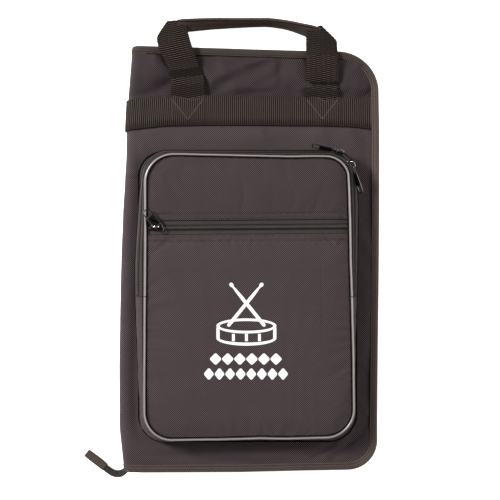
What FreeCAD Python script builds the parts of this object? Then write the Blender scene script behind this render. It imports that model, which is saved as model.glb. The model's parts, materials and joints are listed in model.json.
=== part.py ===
import FreeCAD, Part
import math
import os

# Folding drum stick bag, lying shut on its back.
# +X runs from the folding spine to the zipped edge, +Y towards the carry handles, +Z out of the front pocket.
# The origin is on the back panel's outer face, in the middle of the bag. All sizes are millimetres.

V = FreeCAD.Vector

# ---- driving dimensions -------------------------------------------------
X_SPINE = -143.0        # outer face of the spine, and the line that both covers fold about
SPINE_T = 5.0           # thickness of the padded spine
X_LEFT = -137.7         # left edge of both covers, clear of the spine
X_RIGHT = 145.0         # right edge of both covers
Y_BOTTOM = -240.0       # bottom edge
Y_TOP = 239.0           # top edge
R_TOP = 46.0            # corner radius at the top right
R_BOTTOM = 34.0         # corner radius at the bottom right
COVER_T = 5.0           # thickness of one padded cover
GAP = 26.0              # clear depth between the covers, set by a stick sleeve and a flat pocket
Z_IN_BACK = COVER_T
Z_IN_FRONT = COVER_T + GAP
Z_FRONT = 2 * COVER_T + GAP   # outer face of the front cover
FABRIC_T = 1.0          # woven nylon with its coating
BIND_W = 11.0           # edge binding seen on each side
BIND_T = 1.5            # thickness of the folded binding on each side
BIND_STEP = 12.0

ZIP_TAPE_IN = 3.5       # main zip wall, inset from the cover's edge
ZIP_TAPE_T = 1.2
MAIN_TAPE_H = 9.3       # height of each tape between binding and teeth
MAIN_COIL_H = 3.5       # height of each row of teeth
COIL_T = 2.6
TEETH_GAP = 0.4         # left between the two rows of teeth

BAND_Y0 = 149.5         # webbing band, 36 mm wide, right round the bag
BAND_Y1 = 185.5
BAND_T = 1.6
HANDLE_T = 1.7
RECESS_T = 2.0          # depth that the rear webbing sinks into the padding

POCKET_X0, POCKET_X1 = -127.0, 121.0
POCKET_Y0, POCKET_Y1 = -205.0, 122.0
POCKET_R = (28.0, 26.0, 16.0, 28.0)   # bottom left, bottom right, top right, top left
POCKET_WALL = 1.2
POCKET_FACE_Z0 = 62.0
POCKET_FACE_Z1 = 64.0
PIPING = 3.4
FLAP_Y = -41.0          # the pocket's front folds down about this line
FLAP_GAP = 0.25
FLAP_AXIS_Z = POCKET_FACE_Z1 + PIPING + 0.3

FLAT_ZIP_Y = 38.0       # flat pocket's zip, across the pocket's front
FLAT_ZIP_HALF = 8.0
FLAT_COIL = 3.1

SLEEVE_X0, SLEEVE_X1 = -128.0, 120.0
SLEEVE_Y0, SLEEVE_Y1 = -228.0, 95.0
SLEEVE_DEPTH = 15.0     # one stick lies in it
SLEEVES = 5
SHEET_T = 1.2

os.makedirs("parts", exist_ok=True)
PARTS = {}


def add(name, shape):
    """Keeps a node, as one solid or a group of solids."""
    solids = shape.Solids
    assert solids, name
    for s in solids:
        assert s.isValid() and s.Volume > 0.5, (name, s.Volume)
    PARTS[name] = solids[0] if len(solids) == 1 else Part.makeCompound(solids)


def box(x0, x1, y0, y1, z0, z1):
    return Part.makeBox(x1 - x0, y1 - y0, z1 - z0, V(x0, y0, z0))


def prism(x0, x1, y0, y1, z0, z1, radii=(0, 0, 0, 0)):
    """A rounded rectangle, extruded along Z. Radii go bottom left, bottom right, top right, top left."""
    bl, br, tr, tl = radii
    corners = [
        (x0, y0, bl, 1, 1), (x1, y0, br, -1, 1), (x1, y1, tr, -1, -1), (x0, y1, tl, 1, -1),
    ]
    entries = []
    for i, (x, y, r, sx, sy) in enumerate(corners):
        if r <= 0.01:
            entries.append((V(x, y, z0), None, V(x, y, z0)))
            continue
        c = V(x + sx * r, y + sy * r, z0)
        along_y = V(x, y + sy * r, z0)
        along_x = V(x + sx * r, y, z0)
        k = r * math.sqrt(0.5)
        mid = V(c.x - sx * k, c.y - sy * k, z0)
        # walking anticlockwise, a corner is entered along y at the left and right sides in turn
        if i in (0, 2):
            entries.append((along_y, mid, along_x))
        else:
            entries.append((along_x, mid, along_y))
    edges = []
    for i, (start, mid, end) in enumerate(entries):
        if mid is not None:
            edges.append(Part.Arc(start, mid, end).toShape())
        nxt = entries[(i + 1) % 4][0]
        if (nxt - end).Length > 1e-6:
            edges.append(Part.LineSegment(end, nxt).toShape())
    face = Part.Face(Part.Wire(edges))
    return face.extrude(V(0, 0, z1 - z0))


def cover(inset, z0, z1, left=X_LEFT):
    """The covers' outline, set in from its three zipped edges."""
    return prism(left, X_RIGHT - inset, Y_BOTTOM + inset, Y_TOP - inset, z0, z1,
                 (0, R_BOTTOM - inset, R_TOP - inset, 0))


def cover_ring(outer, inner, z0, z1):
    """A strip along the three zipped edges, open at the spine."""
    return cover(outer, z0, z1).cut(cover(inner, z0 - 1, z1 + 1, X_LEFT - 5))


def pocket(inset, z0, z1):
    return prism(POCKET_X0 + inset, POCKET_X1 - inset, POCKET_Y0 + inset, POCKET_Y1 - inset, z0, z1,
                 tuple(max(r - inset, 1.0) for r in POCKET_R))


def pocket_ring(outer, inner, z0, z1):
    return pocket(outer, z0, z1).cut(pocket(inner, z0 - 1, z1 + 1))


def above_fold(shape):
    return shape.common(box(-300, 300, FLAP_Y + FLAP_GAP, 300, -50, 150))


def below_fold(shape):
    return shape.common(box(-300, 300, -300, FLAP_Y - FLAP_GAP, -50, 150))


def polygon(points, z0, z1):
    pts = [V(x, y, z0) for x, y in points]
    return Part.Face(Part.makePolygon(pts + [pts[0]])).extrude(V(0, 0, z1 - z0))


def placed(shape, origin, u, v):
    """Moves a shape from its local frame, with local x along u and local y along v."""
    u, v = V(*u), V(*v)
    u.normalize()
    v.normalize()
    n = u.cross(v)
    m = FreeCAD.Matrix(u.x, v.x, n.x, origin[0], u.y, v.y, n.y, origin[1],
                       u.z, v.z, n.z, origin[2], 0, 0, 0, 1)
    s = shape.copy()
    s.Placement = FreeCAD.Placement(m)
    return s


# ---- carry handle outline, as it lies ------------------------------------
LEG_L = (-90.0, -52.0)     # where each leg comes out from under the band
LEG_R = (62.5, 100.5)
HANDLE_Y0 = BAND_Y1 + 0.3


def handle(z_low, towards):
    """One webbing handle: two flat legs and a grip of the same webbing folded double. It lies from z_low, and the grip thickens the way that towards says."""
    z0, z1 = sorted((z_low, z_low + towards * HANDLE_T))
    g0, g1 = sorted((z_low, z_low + towards * 2 * HANDLE_T))
    left = polygon([(LEG_L[0], HANDLE_Y0), (LEG_L[1], HANDLE_Y0), (-53.0, 205.0), (-70.5, 258.5),
                    (-78.0, 273.0), (-94.0, 271.0), (-105.0, 251.0), (-91.0, 208.0)], z0, z1)
    right = polygon([(LEG_R[0], HANDLE_Y0), (LEG_R[1], HANDLE_Y0), (98.5, 246.5), (83.5, 264.0),
                     (70.0, 260.0), (62.5, 254.0)], z0, z1)
    grip = polygon([(-92.0, 258.5), (-70.5, 259.0), (-28.0, 261.5), (14.0, 264.0), (35.0, 262.5),
                    (62.5, 254.5), (76.0, 250.0), (83.5, 264.0), (46.0, 269.0), (14.0, 273.5),
                    (-38.0, 274.0), (-68.0, 273.5), (-94.0, 271.0)], g0, g1)
    return left.fuse(right).fuse(grip).removeSplitter()


# ---- back half: panel, padding, lining, binding --------------------------
def leg_strip(x0, x1, grow=0.0):
    return (x0 - 0.4 - grow, x1 + 0.4 + grow)


def rear_recess(depth, grow, up=0.0):
    """The hollow that the rear band and the rear handle's legs press into the back cover."""
    cuts = [box(X_LEFT - 1, X_RIGHT - BIND_STEP + 0.6 + grow, BAND_Y0 - 0.3 - grow, BAND_Y1 + 0.3 + grow, -1, depth + up)]
    for poly in (
        [(LEG_L[0] - 0.6, BAND_Y1), (LEG_L[1] + 0.6, BAND_Y1), (-52.2, 205.2), (-64.0, 243.0), (-104.5, 243.0), (-91.8, 207.5)],
        [(LEG_R[0] - 0.6, BAND_Y1), (LEG_R[1] + 0.6, BAND_Y1), (99.8, 243.0), (61.8, 243.0)],
    ):
        cx = sum(p[0] for p in poly) / len(poly)
        wide = [(x + (grow if x > cx else -grow), y) for x, y in poly]
        cuts.append(polygon(wide, -1, depth + up))
    out = cuts[0]
    for c in cuts[1:]:
        out = out.fuse(c)
    return out


recess = rear_recess(RECESS_T, 0.0)
recess_skin = rear_recess(RECESS_T, 0.8, FABRIC_T - 0.1)
core = cover(BIND_STEP, 0, COVER_T)

outer = cover(BIND_STEP, 0, FABRIC_T)
outer = outer.fuse(cover_ring(BIND_W, BIND_STEP, 0, 2.5)).fuse(cover_ring(BIND_T, BIND_W, 1.5, 2.5))
skin = recess_skin.common(core)
outer = outer.fuse(skin).cut(recess)
outer = outer.cut(cover_ring(-5, BIND_W, -1, 1.5))
outer = outer.removeSplitter()
add("back_outer_fabric", max(outer.Solids, key=lambda s: s.Volume))

foam = cover(BIND_STEP, FABRIC_T, COVER_T - FABRIC_T).cut(recess_skin)
add("back_foam_pad", max(foam.Solids, key=lambda s: s.Volume))


def lining(z_face, inward):
    """Inner lining, stepped into the binding. inward is +1 where the bag's inside lies above it."""
    a = z_face - inward * FABRIC_T
    slab = cover(BIND_STEP, min(a, z_face), max(a, z_face))
    mid = z_face - inward * 2.5
    step = cover_ring(BIND_W, BIND_STEP, min(mid, z_face), max(mid, z_face))
    tip = z_face - inward * 1.5
    lip = cover_ring(BIND_T, BIND_W, min(mid, tip), max(mid, tip))
    return slab.fuse(step).fuse(lip).removeSplitter()


add("back_lining", lining(Z_IN_BACK, +1))


def binding(z0):
    """Folded tape round a cover's three free edges."""
    b = cover_ring(0, BIND_W, z0, z0 + COVER_T)
    b = b.cut(cover(BIND_T, z0 + 1.5, z0 + 3.5, X_LEFT - 5))
    return b


back_binding = binding(0).cut(recess)
add("back_edge_binding", max(back_binding.Solids, key=lambda s: s.Volume))
add("back_webbing_band", box(X_LEFT, X_RIGHT - BIND_STEP, BAND_Y0, BAND_Y1, 0, BAND_T))

# main zip: a tape and a row of teeth on each half
z = Z_IN_BACK
add("main_zip_tape_back", cover_ring(ZIP_TAPE_IN, ZIP_TAPE_IN + ZIP_TAPE_T, z, z + MAIN_TAPE_H))
coil_in = ZIP_TAPE_IN + ZIP_TAPE_T / 2 - COIL_T / 2
z += MAIN_TAPE_H
add("main_zip_teeth_back", cover_ring(coil_in, coil_in + COIL_T, z, z + MAIN_COIL_H))
z += MAIN_COIL_H + TEETH_GAP
Z_MAIN_MID = z - TEETH_GAP / 2
add("main_zip_teeth_front", cover_ring(coil_in, coil_in + COIL_T, z, z + MAIN_COIL_H))
z += MAIN_COIL_H
add("main_zip_tape_front", cover_ring(ZIP_TAPE_IN, ZIP_TAPE_IN + ZIP_TAPE_T, z, Z_IN_FRONT))

# ---- stick sleeves on the back half ---------------------------------------
z_sheet = Z_IN_BACK + SLEEVE_DEPTH
add("stick_sleeve_panel", box(SLEEVE_X0, SLEEVE_X1, SLEEVE_Y0, SLEEVE_Y1, z_sheet, z_sheet + SHEET_T))
ribs = []
pitch = (SLEEVE_X1 - SLEEVE_X0 - SHEET_T) / SLEEVES
for i in range(SLEEVES + 1):
    x = SLEEVE_X0 + i * pitch
    ribs.append(box(x, x + SHEET_T, SLEEVE_Y0 + SHEET_T, SLEEVE_Y1, Z_IN_BACK, z_sheet))
ribs.append(box(SLEEVE_X0, SLEEVE_X1, SLEEVE_Y0, SLEEVE_Y0 + SHEET_T, Z_IN_BACK, z_sheet))
add("stick_sleeve_gussets", Part.makeCompound(ribs))
add("stick_sleeve_top_binding", box(SLEEVE_X0, SLEEVE_X1, SLEEVE_Y1, SLEEVE_Y1 + 2.5, z_sheet - 0.6, z_sheet + SHEET_T + 0.6))

# ---- spine ----------------------------------------------------------------
add("spine_outer_fabric", box(X_SPINE, X_SPINE + 1.2, Y_BOTTOM, Y_TOP, 0, Z_FRONT))
add("spine_foam_strip", box(X_SPINE + 1.2, X_SPINE + 4.0, Y_BOTTOM, Y_TOP, 0, Z_FRONT))
add("spine_lining", box(X_SPINE + 4.0, X_SPINE + SPINE_T, Y_BOTTOM, Y_TOP, 0, Z_FRONT))
add("spine_webbing_band", box(X_SPINE - BAND_T, X_SPINE, BAND_Y0, BAND_Y1, 0.5, Z_FRONT - 0.5))

# the zip's free end at the foot of the spine: the two tapes folded together, then a sewn fabric tab
def strip(sections):
    wires = []
    for (x, y, z, wx, wy, wz, tx, ty, tz) in sections:
        c, w, t = V(x, y, z), V(wx, wy, wz), V(tx, ty, tz)
        pts = [c + w + t, c - w + t, c - w - t, c + w - t]
        wires.append(Part.makePolygon(pts + [pts[0]]))
    return Part.makeLoft(wires, True, True)


tail = strip([
    (X_SPINE, -235.2, 12.0, 0, 3.2, 0, 0, 0, 2.6),
    (-150.5, -239.2, 10.5, 1.0, 3.4, 0, 0, 0, 2.4),
    (-158.0, -239.0, 8.6, 2.0, 3.2, 0, 0, 0, 2.0),
    (-163.0, -236.2, 7.3, 2.4, 3.2, 0, 0, 0, 1.7),
])
add("zip_tail_tapes", tail)
tab = strip([
    (-163.0, -236.2, 7.3, 2.64, 3.52, 0, 0, 0, 2.0),
    (-171.0, -230.3, 5.0, 2.6, 3.4, 0, 0, 0, 1.6),
    (-183.0, -220.8, 2.2, 2.9, 3.4, 0, 0, 0, 1.4),
])
add("zip_tail_tab", tab)

# ---- front half -----------------------------------------------------------
f_outer = cover(BIND_STEP, Z_FRONT - FABRIC_T, Z_FRONT)
f_outer = f_outer.fuse(cover_ring(BIND_W, BIND_STEP, Z_FRONT - 2.5, Z_FRONT))
f_outer = f_outer.fuse(cover_ring(BIND_T, BIND_W, Z_FRONT - 2.5, Z_FRONT - 1.5)).removeSplitter()
add("front_outer_fabric", f_outer)
add("front_foam_pad", cover(BIND_STEP, Z_IN_FRONT + FABRIC_T, Z_FRONT - FABRIC_T))
add("front_lining", lining(Z_IN_FRONT, -1))
add("front_edge_binding", binding(Z_IN_FRONT))
add("front_webbing_band", box(X_LEFT, X_RIGHT - BIND_W + 1.0, BAND_Y0, BAND_Y1, Z_FRONT, Z_FRONT + BAND_T))

# flat document pocket inside the front cover
z_doc = Z_IN_FRONT - 6.6
add("inner_pocket_panel", box(-125, 122, -222, 60, z_doc, z_doc + 1.0))
add("inner_pocket_seams", Part.makeCompound([
    box(-125, -123.8, -220.8, 60, z_doc + 1.0, Z_IN_FRONT),
    box(120.8, 122, -220.8, 60, z_doc + 1.0, Z_IN_FRONT),
    box(-125, 122, -222, -220.8, z_doc + 1.0, Z_IN_FRONT),
]))
add("inner_pocket_top_binding", box(-125, 122, 60, 62.5, z_doc - 0.4, z_doc + 1.4))

# ---- outside pocket, fixed part -------------------------------------------
Z_PZ0 = 44.0                       # top of the gusset's cloth under the zip
Z_PC0 = 49.8                       # fixed teeth
Z_PC1 = 53.2
Z_FC0 = Z_PC1 + TEETH_GAP          # flap's teeth
Z_FC1 = Z_FC0 + 3.4
gusset = below_fold(pocket_ring(0, POCKET_WALL, Z_FRONT, POCKET_FACE_Z0)).fuse(
    pocket_ring(0, POCKET_WALL, Z_FRONT, Z_PZ0)).removeSplitter()
add("pocket_gusset", gusset)
upper = box(-300, 300, FLAP_Y - FLAP_GAP, 300, -50, 150)
add("pocket_zip_tape_gusset", pocket_ring(0, POCKET_WALL, Z_PZ0, Z_PC0).common(upper))
p_coil = POCKET_WALL / 2 - COIL_T / 2
add("pocket_zip_teeth_gusset", pocket_ring(p_coil, p_coil + COIL_T, Z_PC0, Z_PC1).common(upper))
add("pocket_lower_panel", below_fold(pocket(0, POCKET_FACE_Z0, POCKET_FACE_Z1)))
add("pocket_piping_lower", below_fold(pocket_ring(0, PIPING, POCKET_FACE_Z1, POCKET_FACE_Z1 + PIPING)))

# ---- outside pocket, flap --------------------------------------------------
FACE = above_fold(pocket(0, POCKET_FACE_Z0, POCKET_FACE_Z1))
slot = box(POCKET_X0 + PIPING, POCKET_X1 - PIPING, FLAT_ZIP_Y - FLAT_ZIP_HALF, FLAT_ZIP_Y + FLAT_ZIP_HALF, 0, 100)
cut_face = FACE.cut(box(-300, 300, FLAT_ZIP_Y - FLAT_ZIP_HALF, FLAT_ZIP_Y + FLAT_ZIP_HALF, 0, 100))
pieces = sorted(cut_face.Solids, key=lambda s: s.CenterOfMass.y)
add("flap_lower_panel", pieces[0])
add("flap_upper_panel", pieces[-1])
strip_all = FACE.common(box(-300, 300, FLAT_ZIP_Y - FLAT_ZIP_HALF, FLAT_ZIP_Y + FLAT_ZIP_HALF, 0, 100))
add("flat_zip_tape_lower", strip_all.common(box(-300, 300, FLAT_ZIP_Y - FLAT_ZIP_HALF, FLAT_ZIP_Y - FLAT_COIL, 62.4, 63.6)))
add("flat_zip_tape_upper", strip_all.common(box(-300, 300, FLAT_ZIP_Y + FLAT_COIL, FLAT_ZIP_Y + FLAT_ZIP_HALF, 62.4, 63.6)))
add("flat_zip_teeth_lower", strip_all.common(box(-300, 300, FLAT_ZIP_Y - FLAT_COIL, FLAT_ZIP_Y - 0.1, 62.0, 64.4)))
add("flat_zip_teeth_upper", strip_all.common(box(-300, 300, FLAT_ZIP_Y + 0.1, FLAT_ZIP_Y + FLAT_COIL, 62.0, 64.4)))
add("flap_lining", above_fold(pocket(POCKET_WALL + 0.9, POCKET_FACE_Z0 - 1.0, POCKET_FACE_Z0)))
add("pocket_zip_tape_flap", above_fold(pocket_ring(0, POCKET_WALL, Z_FC1, POCKET_FACE_Z0)))
add("pocket_zip_teeth_flap", above_fold(pocket_ring(p_coil, p_coil + COIL_T, Z_FC0, Z_FC1)))
add("pocket_piping_flap", above_fold(pocket_ring(0, PIPING, POCKET_FACE_Z1, POCKET_FACE_Z1 + PIPING)))

# ---- handles ----------------------------------------------------------------
add("front_handle", handle(Z_FRONT + 0.35, +1))
add("rear_handle", handle(0.0, +1))

# ---- zip sliders and pulls -----------------------------------------------------
BAR_H = 3.0        # pull's cross bar above the slider plate's inner face
BAR_R = 0.65


def slider():
    """Slider plate with its arched bridge. Local x is along the zip, local z away from the teeth."""
    plate = prism(-6.5, 6.5, -4.5, 4.5, 0, 1.4, (2.6, 1.4, 1.4, 2.6))
    arch = Part.Face(Part.makePolygon([V(-3.2, -0.9, 1.4), V(3.2, -0.9, 1.4), V(3.1, -0.9, 3.8), V(2.3, -0.9, 5.0),
                                       V(-2.3, -0.9, 5.0), V(-3.1, -0.9, 3.8), V(-3.2, -0.9, 1.4)])).extrude(V(0, 1.8, 0))
    hole = box(-2.05, 2.05, -3, 3, 1.9, 4.1)
    body = plate.fuse(arch.cut(hole)).removeSplitter()
    top = [e for e in body.Edges if all(abs(v.Z - 1.4) < 1e-6 for v in e.Vertexes)
           and max(abs(v.Y) for v in e.Vertexes) > 2 or (abs(e.CenterOfMass.z - 1.4) < 1e-6 and abs(e.CenterOfMass.y) > 2)]
    try:
        nice = body.makeFillet(0.45, top)
        if nice.isValid() and nice.Volume > 0:
            body = nice
    except Exception:
        pass
    return body


def pull():
    """Pull tab: a cross bar that hangs in the bridge, and a thin plate with a window at its far end. Local x runs along the tab."""
    plate = prism(0, 27.5, -4.7, 4.7, -0.8, 0.8, (0.0, 3.4, 3.4, 0.0))
    near = prism(-4, 6.4, -3.4, 3.4, -2, 2, (0, 1.6, 1.6, 0))
    far = prism(19.6, 25.2, -2.9, 2.9, -2, 2, (1.2, 2.2, 2.2, 1.2))
    panel_top = prism(8.2, 18.0, -3.3, 3.3, 0.45, 2, (0.8, 0.8, 0.8, 0.8))
    panel_low = prism(8.2, 18.0, -3.3, 3.3, -2, -0.45, (0.8, 0.8, 0.8, 0.8))
    body = plate.cut(near).cut(far).cut(panel_top).cut(panel_low)
    for side in (-1, 1):
        y0, y1 = sorted((side * 3.4, side * 4.7))
        body = body.fuse(Part.makeCylinder(0.8, y1 - y0, V(0, y0, 0), V(0, 1, 0)))
    body = body.fuse(Part.makeCylinder(BAR_R, 7.4, V(0, -3.7, 0), V(0, 1, 0)))
    return body.removeSplitter()


def turned(direction, normal, degrees):
    """The direction, lifted towards the normal."""
    a = math.radians(degrees)
    d, n = V(*direction), V(*normal)
    return d * math.cos(a) + n * math.sin(a)


def zip_end(name, origin, along, across, point, lift):
    """One slider and its pull. origin is on the teeth's outer face; point is the pull's lie, lifted off the zip by lift degrees."""
    u, v = V(*along), V(*across)
    n = u.cross(v)
    add(name + "_slider", placed(slider(), origin, along, across))
    bar = V(*origin) + n * BAR_H
    d = turned(point, (n.x, n.y, n.z), lift)
    w = n.cross(V(*point))
    add(name + "_pull", placed(pull(), (bar.x, bar.y, bar.z), (d.x, d.y, d.z), (w.x, w.y, w.z)))
    return bar


# main zip, right side wall: teeth's outer face, slider 0.3 clear of it
x_main = X_RIGHT - coil_in + 0.3
BAR_MAIN_UP = zip_end("main_upper", (x_main, 97.0, Z_MAIN_MID), (0, 1, 0), (0, 0, 1), (0, 1, 0), 6.0)
BAR_MAIN_LOW = zip_end("main_lower", (x_main, 81.0, Z_MAIN_MID), (0, 1, 0), (0, 0, 1), (0, -1, 0), 6.0)

# outside pocket: one on the top wall, one on the right wall, either side of the corner
Z_P_MID = Z_PC1 + TEETH_GAP / 2
y_p = POCKET_Y1 - p_coil + 0.3
x_p = POCKET_X1 - p_coil + 0.3
BAR_TOP = zip_end("pocket_top", (99.5, y_p, Z_P_MID), (-1, 0, 0), (0, 0, 1), (-1, 0, 0), 13.0)
BAR_SIDE = zip_end("pocket_side", (x_p, 103.0, Z_P_MID), (0, 1, 0), (0, 0, 1), (0, -1, 0), 24.0)

# flat pocket: slider at the left end, its pull lying across the piping
PULL_DIR = (-0.66, 0.751, 0)
BAR_FLAT = zip_end("flat", (-104.0, FLAT_ZIP_Y, 64.4 + 0.4 + 0.3), (1, 0, 0), (0, 1, 0), PULL_DIR, 3.0)

for old in os.listdir("parts"):
    if old.endswith(".step") and old[:-5] not in PARTS:
        os.remove(os.path.join("parts", old))
for name, shape in PARTS.items():
    shape.exportStep("parts/%s.step" % name)

print(len(PARTS), "nodes")
for n, b in (("main_upper", BAR_MAIN_UP), ("main_lower", BAR_MAIN_LOW), ("pocket_top", BAR_TOP), ("pocket_side", BAR_SIDE), ("flat", BAR_FLAT)):
    print("bar", n, round(b.x, 3), round(b.y, 3), round(b.z, 3))
print("x_main", x_main, "zmid", Z_MAIN_MID, "Z_P_MID", Z_P_MID)
for name, shape in sorted(PARTS.items()):
    bb = shape.BoundBox
    print("%-28s %2d  vol %9.1f  x %.1f %.1f  y %.1f %.1f  z %.1f %.1f" % (
        name, len(shape.Solids), shape.Volume, bb.XMin, bb.XMax, bb.YMin, bb.YMax, bb.ZMin, bb.ZMax))
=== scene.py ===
# Drum stick bag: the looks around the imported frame.
import bpy, bmesh, math, json
import numpy as np
from mathutils import Vector, Matrix


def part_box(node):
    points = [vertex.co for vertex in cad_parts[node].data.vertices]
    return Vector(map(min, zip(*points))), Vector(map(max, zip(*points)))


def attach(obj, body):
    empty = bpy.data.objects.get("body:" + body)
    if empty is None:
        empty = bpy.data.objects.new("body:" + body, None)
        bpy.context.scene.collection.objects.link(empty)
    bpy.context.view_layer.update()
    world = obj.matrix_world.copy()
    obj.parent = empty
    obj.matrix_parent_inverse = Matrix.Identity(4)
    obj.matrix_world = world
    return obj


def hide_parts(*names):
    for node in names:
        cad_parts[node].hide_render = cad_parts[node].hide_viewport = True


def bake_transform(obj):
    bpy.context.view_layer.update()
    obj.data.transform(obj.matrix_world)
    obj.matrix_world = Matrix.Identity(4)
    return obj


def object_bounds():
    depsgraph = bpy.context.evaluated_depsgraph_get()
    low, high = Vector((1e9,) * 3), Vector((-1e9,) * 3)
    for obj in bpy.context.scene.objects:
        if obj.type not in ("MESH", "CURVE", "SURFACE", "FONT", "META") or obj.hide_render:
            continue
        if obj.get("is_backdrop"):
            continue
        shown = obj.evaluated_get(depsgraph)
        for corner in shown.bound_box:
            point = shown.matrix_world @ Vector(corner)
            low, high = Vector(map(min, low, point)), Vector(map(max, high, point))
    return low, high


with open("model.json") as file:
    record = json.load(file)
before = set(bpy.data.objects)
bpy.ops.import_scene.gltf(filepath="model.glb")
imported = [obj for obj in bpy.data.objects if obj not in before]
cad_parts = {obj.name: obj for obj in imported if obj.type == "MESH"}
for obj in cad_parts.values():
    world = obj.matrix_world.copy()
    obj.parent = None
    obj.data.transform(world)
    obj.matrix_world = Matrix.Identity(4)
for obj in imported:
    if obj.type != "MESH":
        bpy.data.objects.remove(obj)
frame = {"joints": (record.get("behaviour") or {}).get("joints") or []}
cad_lo, cad_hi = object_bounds()
CAD_BOX = [list(cad_lo), list(cad_hi)]
MM = 0.001

# ---------------------------------------------------------------- sizes, mm, read from the frame
def nbox(n):
    lo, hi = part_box(n)
    return [c * 1000 for c in lo], [c * 1000 for c in hi]

(_, YB, _), (XR, YT, _) = nbox("front_edge_binding")
XS = nbox("spine_outer_fabric")[0][0]
ZF = nbox("front_outer_fabric")[1][2]          # outer face of the front cover
RT, RB = 46.0, 34.0
ZMID = ZF / 2
FOLD_Y = -41.0
FLAP_Z = 64.0
(_, _, ZT0), (_, _, ZT1) = nbox("main_zip_tape_back")[0], nbox("main_zip_tape_front")[1]

# ---------------------------------------------------------------- noise
_rng = np.random.RandomState(11)
_PERM = _rng.permutation(256)
_PERM = np.concatenate([_PERM, _PERM, _PERM])
_ANG = _rng.rand(256) * 2 * math.pi
_GX, _GY = np.cos(_ANG), np.sin(_ANG)

def perlin(x, y, seed=0):
    x = np.asarray(x, float) + seed * 17.31
    y = np.asarray(y, float) + seed * 9.77
    xi, yi = np.floor(x).astype(int), np.floor(y).astype(int)
    xf, yf = x - xi, y - yi
    u = xf * xf * xf * (xf * (xf * 6 - 15) + 10)
    v = yf * yf * yf * (yf * (yf * 6 - 15) + 10)
    def g(ix, iy, dx, dy):
        h = _PERM[_PERM[ix & 255] + (iy & 255)]
        return _GX[h] * dx + _GY[h] * dy
    a = g(xi, yi, xf, yf); b = g(xi + 1, yi, xf - 1, yf)
    c = g(xi, yi + 1, xf, yf - 1); d = g(xi + 1, yi + 1, xf - 1, yf - 1)
    return (a + u * (b - a)) + v * ((c + u * (d - c)) - (a + u * (b - a)))

def ridge(x, y, seed=0):
    """Soft creases: 1 on a crease line, falling away to both sides."""
    return (1 - np.minimum(1, np.abs(perlin(x, y, seed)) * 3.2)) ** 2

def smooth(e0, e1, x):
    t = np.clip((np.asarray(x, float) - e0) / (e1 - e0), 0, 1)
    return t * t * (3 - 2 * t)

def gauss(x, y, cx, cy, lx, ly, deg=0.0):
    a = math.radians(deg)
    dx, dy = x - cx, y - cy
    u = dx * math.cos(a) + dy * math.sin(a)
    v = -dx * math.sin(a) + dy * math.cos(a)
    return np.exp(-(u / lx) ** 2 - (v / ly) ** 2)

# ---------------------------------------------------------------- the shell's soft outline
_LY = [-243, -233, -193, -137, -60, 11, 60, 114, 150, 180, 215, 240]
_LX = [0.6, -1.6, -5.6, -6.2, -5.6, -4.2, -2.2, 1.0, 1.8, 3.4, 6.6, 8.6]

def warp(P):
    """The shell's outline isn't quite the rectangle that it was cut to: it tapers to the top at the spine and its top and foot slope a little."""
    P = np.array(P, float)
    x, y = P[..., 0].copy(), P[..., 1].copy()
    wl = smooth(10, XS, x)
    ty = smooth(120, 239, y)
    by = smooth(-120, -240, y)
    P[..., 0] = x + np.interp(y, _LY, _LX) * wl
    P[..., 0] += smooth(60, 135, x) * np.interp(y, [-243, -180, -100, -20, 60, 150, 200, 240], [-0.5, -0.5, 0.2, 1.2, 1.8, 1.8, 0.9, 0.0])
    P[..., 1] = y + ty * np.interp(x, [-143, 0, 91, 145], [4.6, 0.4, -2.2, -2.0]) + by * np.interp(x, [-143, -10, 57, 114, 145], [-1.4, -0.8, 0.8, 1.8, 1.6])
    return P

# ---------------------------------------------------------------- mesh helpers
MATS = {}

def make(name, co, faces, uv=None, mat=None, flat=False):
    """co in mm; uv per face corner in mm."""
    me = bpy.data.meshes.new(name)
    co = np.asarray(co, float).reshape(-1, 3) * MM
    faces = np.asarray(faces, int)
    me.vertices.add(len(co)); me.vertices.foreach_set("co", co.ravel())
    n, k = faces.shape
    me.loops.add(n * k); me.loops.foreach_set("vertex_index", faces.ravel())
    me.polygons.add(n)
    me.polygons.foreach_set("loop_start", np.arange(0, n * k, k))
    me.polygons.foreach_set("loop_total", np.full(n, k))
    me.update(calc_edges=True)
    if uv is not None:
        layer = me.uv_layers.new(name="weave")
        layer.data.foreach_set("uv", (np.asarray(uv, float).reshape(-1, 2) * MM).ravel())
    me.polygons.foreach_set("use_smooth", np.full(n, not flat))
    me.validate()
    o = bpy.data.objects.new(name, me)
    bpy.context.scene.collection.objects.link(o)
    if mat:
        me.materials.append(MATS[mat])
    return o

def grid_faces(nu, nv, cu=False, cv=False, keep=None):
    iu = np.arange(nu if cu else nu - 1); iv = np.arange(nv if cv else nv - 1)
    I, J = np.meshgrid(iu, iv, indexing="ij")
    if keep is not None:
        k = keep(I, J); I, J = I[k], J[k]
    I, J = I.ravel(), J.ravel()
    I2, J2 = (I + 1) % nu, (J + 1) % nv
    f = np.stack([I * nv + J, I2 * nv + J, I2 * nv + J2, I * nv + J2], 1)
    return f, (I, J, I + 1, J + 1)

def arclen(P):
    d = np.linalg.norm(np.diff(P, axis=0), axis=1)
    return np.concatenate([[0], np.cumsum(d)])

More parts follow.
